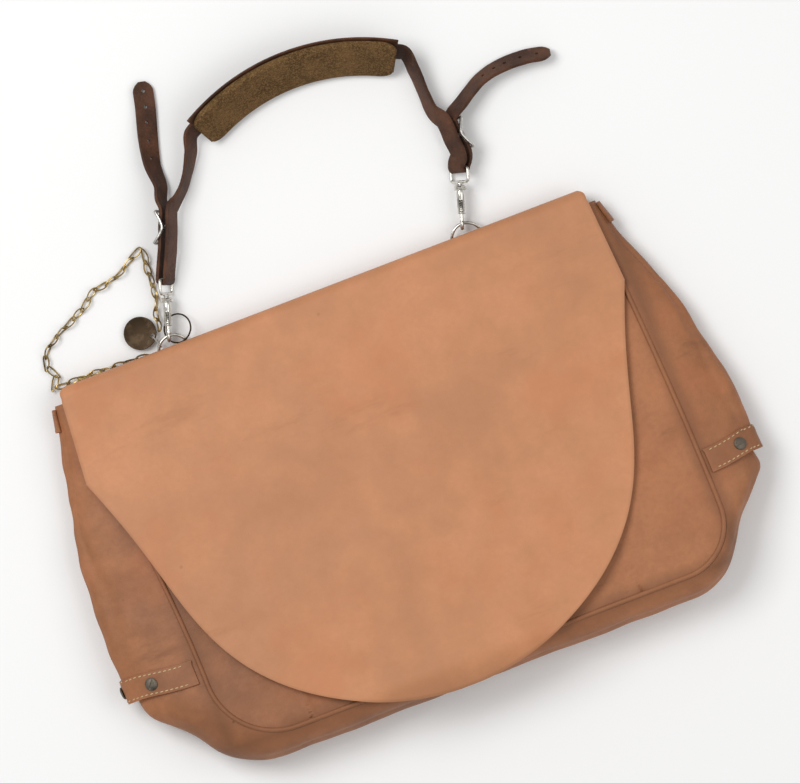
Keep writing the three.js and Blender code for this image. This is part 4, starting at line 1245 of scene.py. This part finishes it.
def pad_frame(degrees):
    a = math.pi / 2 - math.radians(degrees)
    away = Vector((math.cos(a), math.sin(a), 0))
    centre = Vector((*PAD_CENTRE, PAD_Z)) + away * PAD_R
    face = leaned(-away, 90 - PAD_LEAN)
    return centre, leaned(away, PAD_LEAN), face, Vector((math.sin(a), -math.cos(a), 0))


def pad_run():
    stations = []
    for degrees in (-32, -28.8, -24, -14, 0, 14, 24, 28.8, 32):
        centre, width, face, _ = pad_frame(degrees)
        slack = 3 if degrees == -14 else 0
        stations.append((centre + face * (STRAP_BEHIND - slack), width))
    return stations


LEFT_TAIL = (
    (-86, 243, 2.7, 180, 4), (-91, 220, 3.2, 180, 8), (-99, 192, 5.5, 182, 25),
    (-104, 167, 9, 180, 46), (-104, 146, 13, 172, 60), (-108, 134, 15.5, 162, 64),
)
LEFT_RUN = (
    (-97.5, 125.5, 16, 145, 66), (-87.5, 134, 12.5, 136, 72), (-77, 147, 11.5, 146, 72),
    (-67, 164, 14, 140, 62),
)
RIGHT_RUN = ((153, 162, 13.5, 12, 62), (154, 141, 11.5, 8, 66), (155.5, 120, 13, 6, 60))
RIGHT_TAIL = (
    (174, 113.5, 15.5, -38, 52), (183, 118.5, 13, -54, 56), (194, 125.5, 11, -58, 58),
    (209, 133.5, 9.6, -70, 56), (228, 137.5, 9.2, -86, 52), (252, 137.5, 9, -94, 50),
    (277, 133, 9, -102, 50),
)
STRAP_STEPS = 8
HOLES = (0.35, 0.95, 1.5, 2.1, 2.7)
HOLE_R, SLOT_SIZE, SLOT_BACK, STRAIGHT = 1.6, (3.8, 17, 6), 1.5, 17


def strap_stations():
    tail, run = [leaning(*p) for p in LEFT_TAIL], [leaning(*p) for p in LEFT_RUN]
    back = [leaning(*p) for p in RIGHT_RUN] + strap_end("right")[::-1]
    return tail + strap_end("left") + run + pad_run() + back + [leaning(*p) for p in RIGHT_TAIL]


def strap_line():
    """Along the strap: place, direction, upper edge's direction and face, at every small step."""
    stations = strap_stations()
    places = through([p for p, _ in stations], STRAP_STEPS)
    line = []
    for i, place in enumerate(places):
        way = (places[min(i + 1, len(places) - 1)] - places[max(i - 1, 0)]).normalized()
        k = min(len(stations) - 2, i // STRAP_STEPS)
        width = stations[k][1].lerp(stations[k + 1][1], i / STRAP_STEPS - k)
        width = (width - way * width.dot(way)).normalized()
        line.append((place, way, width, width.cross(way)))
    return line


class SATCHEL_OT_strap(bpy.types.Operator):
    """Builds the shoulder strap with its punched tails"""

    bl_idname = "satchel.strap"
    bl_label = "Shoulder strap"

    def execute(self, context):
        line = strap_line()
        last = len(line) - 1

        def surface(u, v):
            i = round(v * last)
            place, _, width, face = line[i]
            end = min(i, last - i) / STRAP_STEPS
            # the tips of both tails are round
            tip = max(0.12, 1 - (1 - min(1, end / 0.42)) ** 2)
            half = STRAP_WIDTH / 2 * math.sqrt(tip)
            across = (u - 0.5) * 2
            cup = 0.5 * (across * across - 0.4) * (0.5 + 0.5 * math.sin(i * 0.21))
            wear = ripple(place, 9, 0.25, 4)
            return place + width * across * half + face * (cup * 0.5 + wear)

        strap = sheet_of("strap_leather_strip", 8, last, surface)
        thicken(strap, STRAP_LEATHER - 0.3, 0.45)
        tools = []
        left_holes = [n * STRAP_STEPS for n in HOLES]
        right_holes = [last - (n + 0.2) * STRAP_STEPS for n in HOLES]
        for share in left_holes + right_holes:
            place, way, width, face = line[round(share)]
            tools.append(rod_of("punch", HOLE_R, 12, axes(width, way, face, place), 16))
        for name in ENDS:
            along, width, inside, centre = strap_frame(name)
            spot = centre - along * SLOT_BACK - inside * LAYER_GAP
            across = width.cross(along)
            tools.append(box_of("slot", SLOT_SIZE, axes(width, along, across, spot)))
        cut_away(strap, joined("punches", *tools))
        tidy(strap, merge=1e-7)
        finished(strap, "strap_hide", "strap", "strap_leather", "shoulder_strap")
        return {"FINISHED"}


# ---- buckles ----


BUCKLE_COLUMNS = (-13.3, -12.4, -10.5, -7, -3.5, 0, 3.5, 7, 10.5, 12.4, 13.3)
BUCKLE_ROWS = (-18.2, -17.2, -15.4, -12, -8, -5, -1.3, 0, 1.3, 5, 8, 12, 15.4, 17.2, 18.2)
BUCKLE_ARCH, BUCKLE_THICK, BUCKLE_ROUNDING = 9.4, 2.4, 0.6
# an arched frame is shorter from end to end than the flat one it is bent from
BUCKLE_SHORTER = 0.87


def buckle_matrix(name):
    """The prong's frame: its pin at the buckle's centre, +Y along the leaning upper half."""
    along, _, inside, centre = strap_frame(name)
    a = math.radians(BUCKLE_TILT)
    up = along * math.cos(a) + inside * math.sin(a)
    out = along * math.sin(a) - inside * math.cos(a)
    return axes(up.cross(out), up, out, centre)


def buckle_frame(name):
    """A flat cast frame with a middle bar, arched along its length."""
    across, along = len(BUCKLE_COLUMNS) - 1, len(BUCKLE_ROWS) - 1
    piece = grid(f"buckle_{name}", across, along)
    for point in piece.data.vertices:
        x = BUCKLE_COLUMNS[round((point.co.x + 0.5) * across)]
        y = BUCKLE_ROWS[round((point.co.y + 0.5) * along)]
        corner = max(0, abs(x) - 9) * max(0, abs(y) - 14) * 0.045
        x -= math.copysign(corner, x)
        y -= math.copysign(corner, y)
        point.co = Vector((x, y, 0)) * MM
    mesh = bmesh.new()
    mesh.from_mesh(piece.data)
    middles = {face: face.calc_center_median() / MM for face in mesh.faces}
    windows = [f for f, c in middles.items() if abs(c.x) < 10.3 and 1.2 < abs(c.y) < 15.2]
    bmesh.ops.delete(mesh, geom=windows, context="FACES")
    mesh.to_mesh(piece.data)
    mesh.free()
    for point in piece.data.vertices:
        y = point.co.y / MM
        arch = BUCKLE_ARCH * (abs(y) / BUCKLE_ROWS[-1]) ** 1.5
        point.co = Vector((point.co.x, point.co.y * BUCKLE_SHORTER, arch * MM))
    modify(piece, "SOLIDIFY", thickness=BUCKLE_THICK * MM, offset=0)
    rounding = {"width": BUCKLE_ROUNDING * MM, "segments": 2}
    modify(piece, "BEVEL", limit_method="ANGLE", angle_limit=0.9, **rounding)
    modify(piece, "SUBSURF", levels=1, render_levels=1)
    return tidy(piece)


def prong_taper(t):
    return lerp(0.35, 1.05, ease(t, 0.0, 0.55)) - 0.35 * ease(t, 0.75, 1)


def buckle_prong(name):
    points = []
    for i in range(9):
        a = math.radians(lerp(60, 90, i / 8))
        r = lerp(2.7, 3.3, i / 8)
        points.append((0, r * math.cos(a), r * math.sin(a)))
    points += [(0, -4, 3.3), (0, -9, 3.35), (0, -14, 3.3), (0, -17.5, 3.1), (0, -19.3, 2.9)]
    return wire(f"prong_{name}", points, 1.0, sides=12, taper=prong_taper)


class SATCHEL_OT_buckles(bpy.types.Operator):
    """Builds the strap's buckles and their prongs"""

    bl_idname = "satchel.buckles"
    bl_label = "Buckles"

    def execute(self, context):
        for name in ENDS:
            matrix = buckle_matrix(name)
            along, _, inside, centre = strap_frame(name)
            metal = carried(buckle_frame(name), axes(along.cross(-inside), along, -inside, centre))
            finished(metal, "bright_nickel", "strap", "nickel", f"buckle_frame_{name}")
            prong = carried(buckle_prong(name), matrix)
            finished(prong, "bright_nickel", f"prong_{name}", "nickel", f"buckle_prong_{name}")
        return {"FINISHED"}


# ---- shoulder pad ----


def pad_place(share, across, depth):
    """A place in the pad: share along it from -1 to 1, across from -1 to 1, depth in mm."""
    centre, width, face, _ = pad_frame(share * PAD_HALF_ANGLE)
    return centre + width * across * PAD_HALF_WIDTH + face * depth


def rounded(u):
    """A point on the felt's section, from -1 to 1 each way, with full round corners."""
    a = 2 * math.pi * u
    return squared(math.cos(a), 0.22), squared(math.sin(a), 0.44)


def keeper(u, v):
    """A flat loop of leather round the strap, about the model's own origin."""
    a = circle(48)[round(u * 48) % 48]
    x, y = squared(math.cos(a), 0.2) * 11, squared(math.sin(a), 0.3) * 3.1
    return Vector((x, y - FOLD_LINE, (v - 0.5) * 14))


class SATCHEL_OT_pad(bpy.types.Operator):
    """Builds the felt shoulder pad, its backing and its loops"""

    bl_idname = "satchel.pad"
    bl_label = "Shoulder pad"

    def execute(self, context):
        thick = sizes().felt_thickness / MM / 2
        count = 90

        def felt(u, v):
            share = lerp(-1, 1, v)
            end = min(1, (1 - abs(share)) * 7 + 0.001)
            x, z = rounded(u)
            narrow = 0.62 + 0.38 * math.sqrt(1 - (1 - end) ** 2)
            place = pad_place(share, x * narrow, z * thick * (0.5 + 0.5 * math.sqrt(end)))
            return place + UP * ripple(place, 12, 0.7)

        pad = sheet_of("pad_felt_wool", 64, count, felt)
        mesh_tools(
            pad, ("remove_doubles", {"threshold": 1e-6}), ("select_all", {"action": "DESELECT"}),
            ("select_non_manifold", {}), ("fill_holes", {"sides": 0}),
        )
        tidy(pad, angle=80)
        finished(pad, "wool_felt", "strap", "felt", "pad_felt")

        def backing(u, v):
            return pad_place(lerp(-1, 1, v), lerp(1.04, -1.04, u), -thick - 1.4)

        back = sheet_of("pad_backing_leather", 20, count, backing)
        thicken(back, 2.0, 0.5)
        finished(back, "strap_hide", "strap", "strap_leather", "pad_backing")

        for name, degrees in (("left", -LOOP_ANGLE), ("right", LOOP_ANGLE)):
            centre, width, face, way = pad_frame(degrees)
            matrix = axes(width, face, way, centre + face * STRAP_BEHIND)
            loop = sheet_of(f"pad_keeper_{name}", 48, 6, keeper)
            tidy(loop)
            modify(loop, "SOLIDIFY", thickness=1.4 * MM, offset=0)
            carried(tidy(loop), matrix)
            finished(loop, "strap_hide", "strap", "strap_leather", f"pad_loop_{name}")
        return {"FINISHED"}


# ---- tag, link and split ring ----

DISC = (
    (0, -0.6), (14.9, -0.6), (15.4, -0.3), (15.4, 0.3), (15.0, 0.65), (14.2, 0.65),
    (13.7, 0.4), (0, 0.4),
)
TAG_AT, TAG_TOWARDS = (-170.3, 25.8, 5), (0.84, -0.54, 0.12)
SPLIT_AT, SPLIT_R, SPLIT_SLOPE = (RING_X["left"] + 9.7, 17.75, 8.35), 13.4, 23


class SATCHEL_OT_keys(bpy.types.Operator):
    """Builds the tag disc and the split ring, and gives the tag's wire link its metal"""

    bl_idname = "satchel.keys"
    bl_label = "Tag and split ring"

    def execute(self, context):
        towards = Vector(TAG_TOWARDS).normalized()
        across = UP.cross(towards).normalized()
        matrix = axes(towards, across, towards.cross(across), Vector(TAG_AT))
        disc = turned("disc", DISC, 72)
        disc.data.transform(Matrix.Rotation(math.pi / 2, 4, "X"))
        hole = Matrix.Translation((0.012, 0, 0))
        disc = cut_away(disc, rod_of("hole", 2.2, 6, hole, 24))
        carried(tidy(disc), matrix)
        disc.name = "tag_disc"
        finished(disc, "old_bronze", "tag", "dark_bronze", "key_tag")

        rise = Vector((*TAG_TOWARDS[:2], 0)).normalized()
        x, y = leaned(rise, SPLIT_SLOPE), UP.cross(rise)
        points = []
        for i in range(121):
            a = 2 * math.pi * i / 60
            points.append((SPLIT_R * math.cos(a), SPLIT_R * math.sin(a), 0.5 * (i / 60 - 1)))
        split = wire("split_ring_coil", points, 0.72, sides=8)
        carried(split, axes(x, y, x.cross(y), Vector(SPLIT_AT)))
        finished(split, "old_bronze", "ring_left", "dark_bronze", "split_ring")
        dressed("tag_link", "bright_nickel")
        return {"FINISHED"}


class SATCHEL_PT_panel(bpy.types.Panel):
    bl_label = "Satchel"
    bl_idname = "SATCHEL_PT_panel"
    bl_space_type = "VIEW_3D"
    bl_region_type = "UI"
    bl_category = "Satchel"

    def draw(self, context):
        for group in (context.scene.satchel_sizes, context.scene.satchel_colours):
            for key in group.bl_rna.properties.keys():
                if key not in ("rna_type", "name"):
                    self.layout.prop(group, key)
        for step in STEPS:
            self.layout.operator(step.bl_idname)


STEPS = (
    SATCHEL_OT_stage, SATCHEL_OT_materials, SATCHEL_OT_chain, SATCHEL_OT_bag,
    SATCHEL_OT_bands, SATCHEL_OT_flap, SATCHEL_OT_rings, SATCHEL_OT_snaps,
    SATCHEL_OT_strap, SATCHEL_OT_buckles, SATCHEL_OT_pad, SATCHEL_OT_keys,
)
CLASSES = (SatchelSizes, SatchelColours, *STEPS, SATCHEL_PT_panel)


def register():
    for item in CLASSES:
        bpy.utils.register_class(item)
    bpy.types.Scene.satchel_sizes = bpy.props.PointerProperty(type=SatchelSizes)
    bpy.types.Scene.satchel_colours = bpy.props.PointerProperty(type=SatchelColours)


def unregister():
    del bpy.types.Scene.satchel_colours
    del bpy.types.Scene.satchel_sizes
    for item in reversed(CLASSES):
        bpy.utils.unregister_class(item)


def main():
    register()
    for step in STEPS:
        group, name = step.bl_idname.split(".")
        getattr(getattr(bpy.ops, group), name)()


if __name__ == "__main__":
    main()
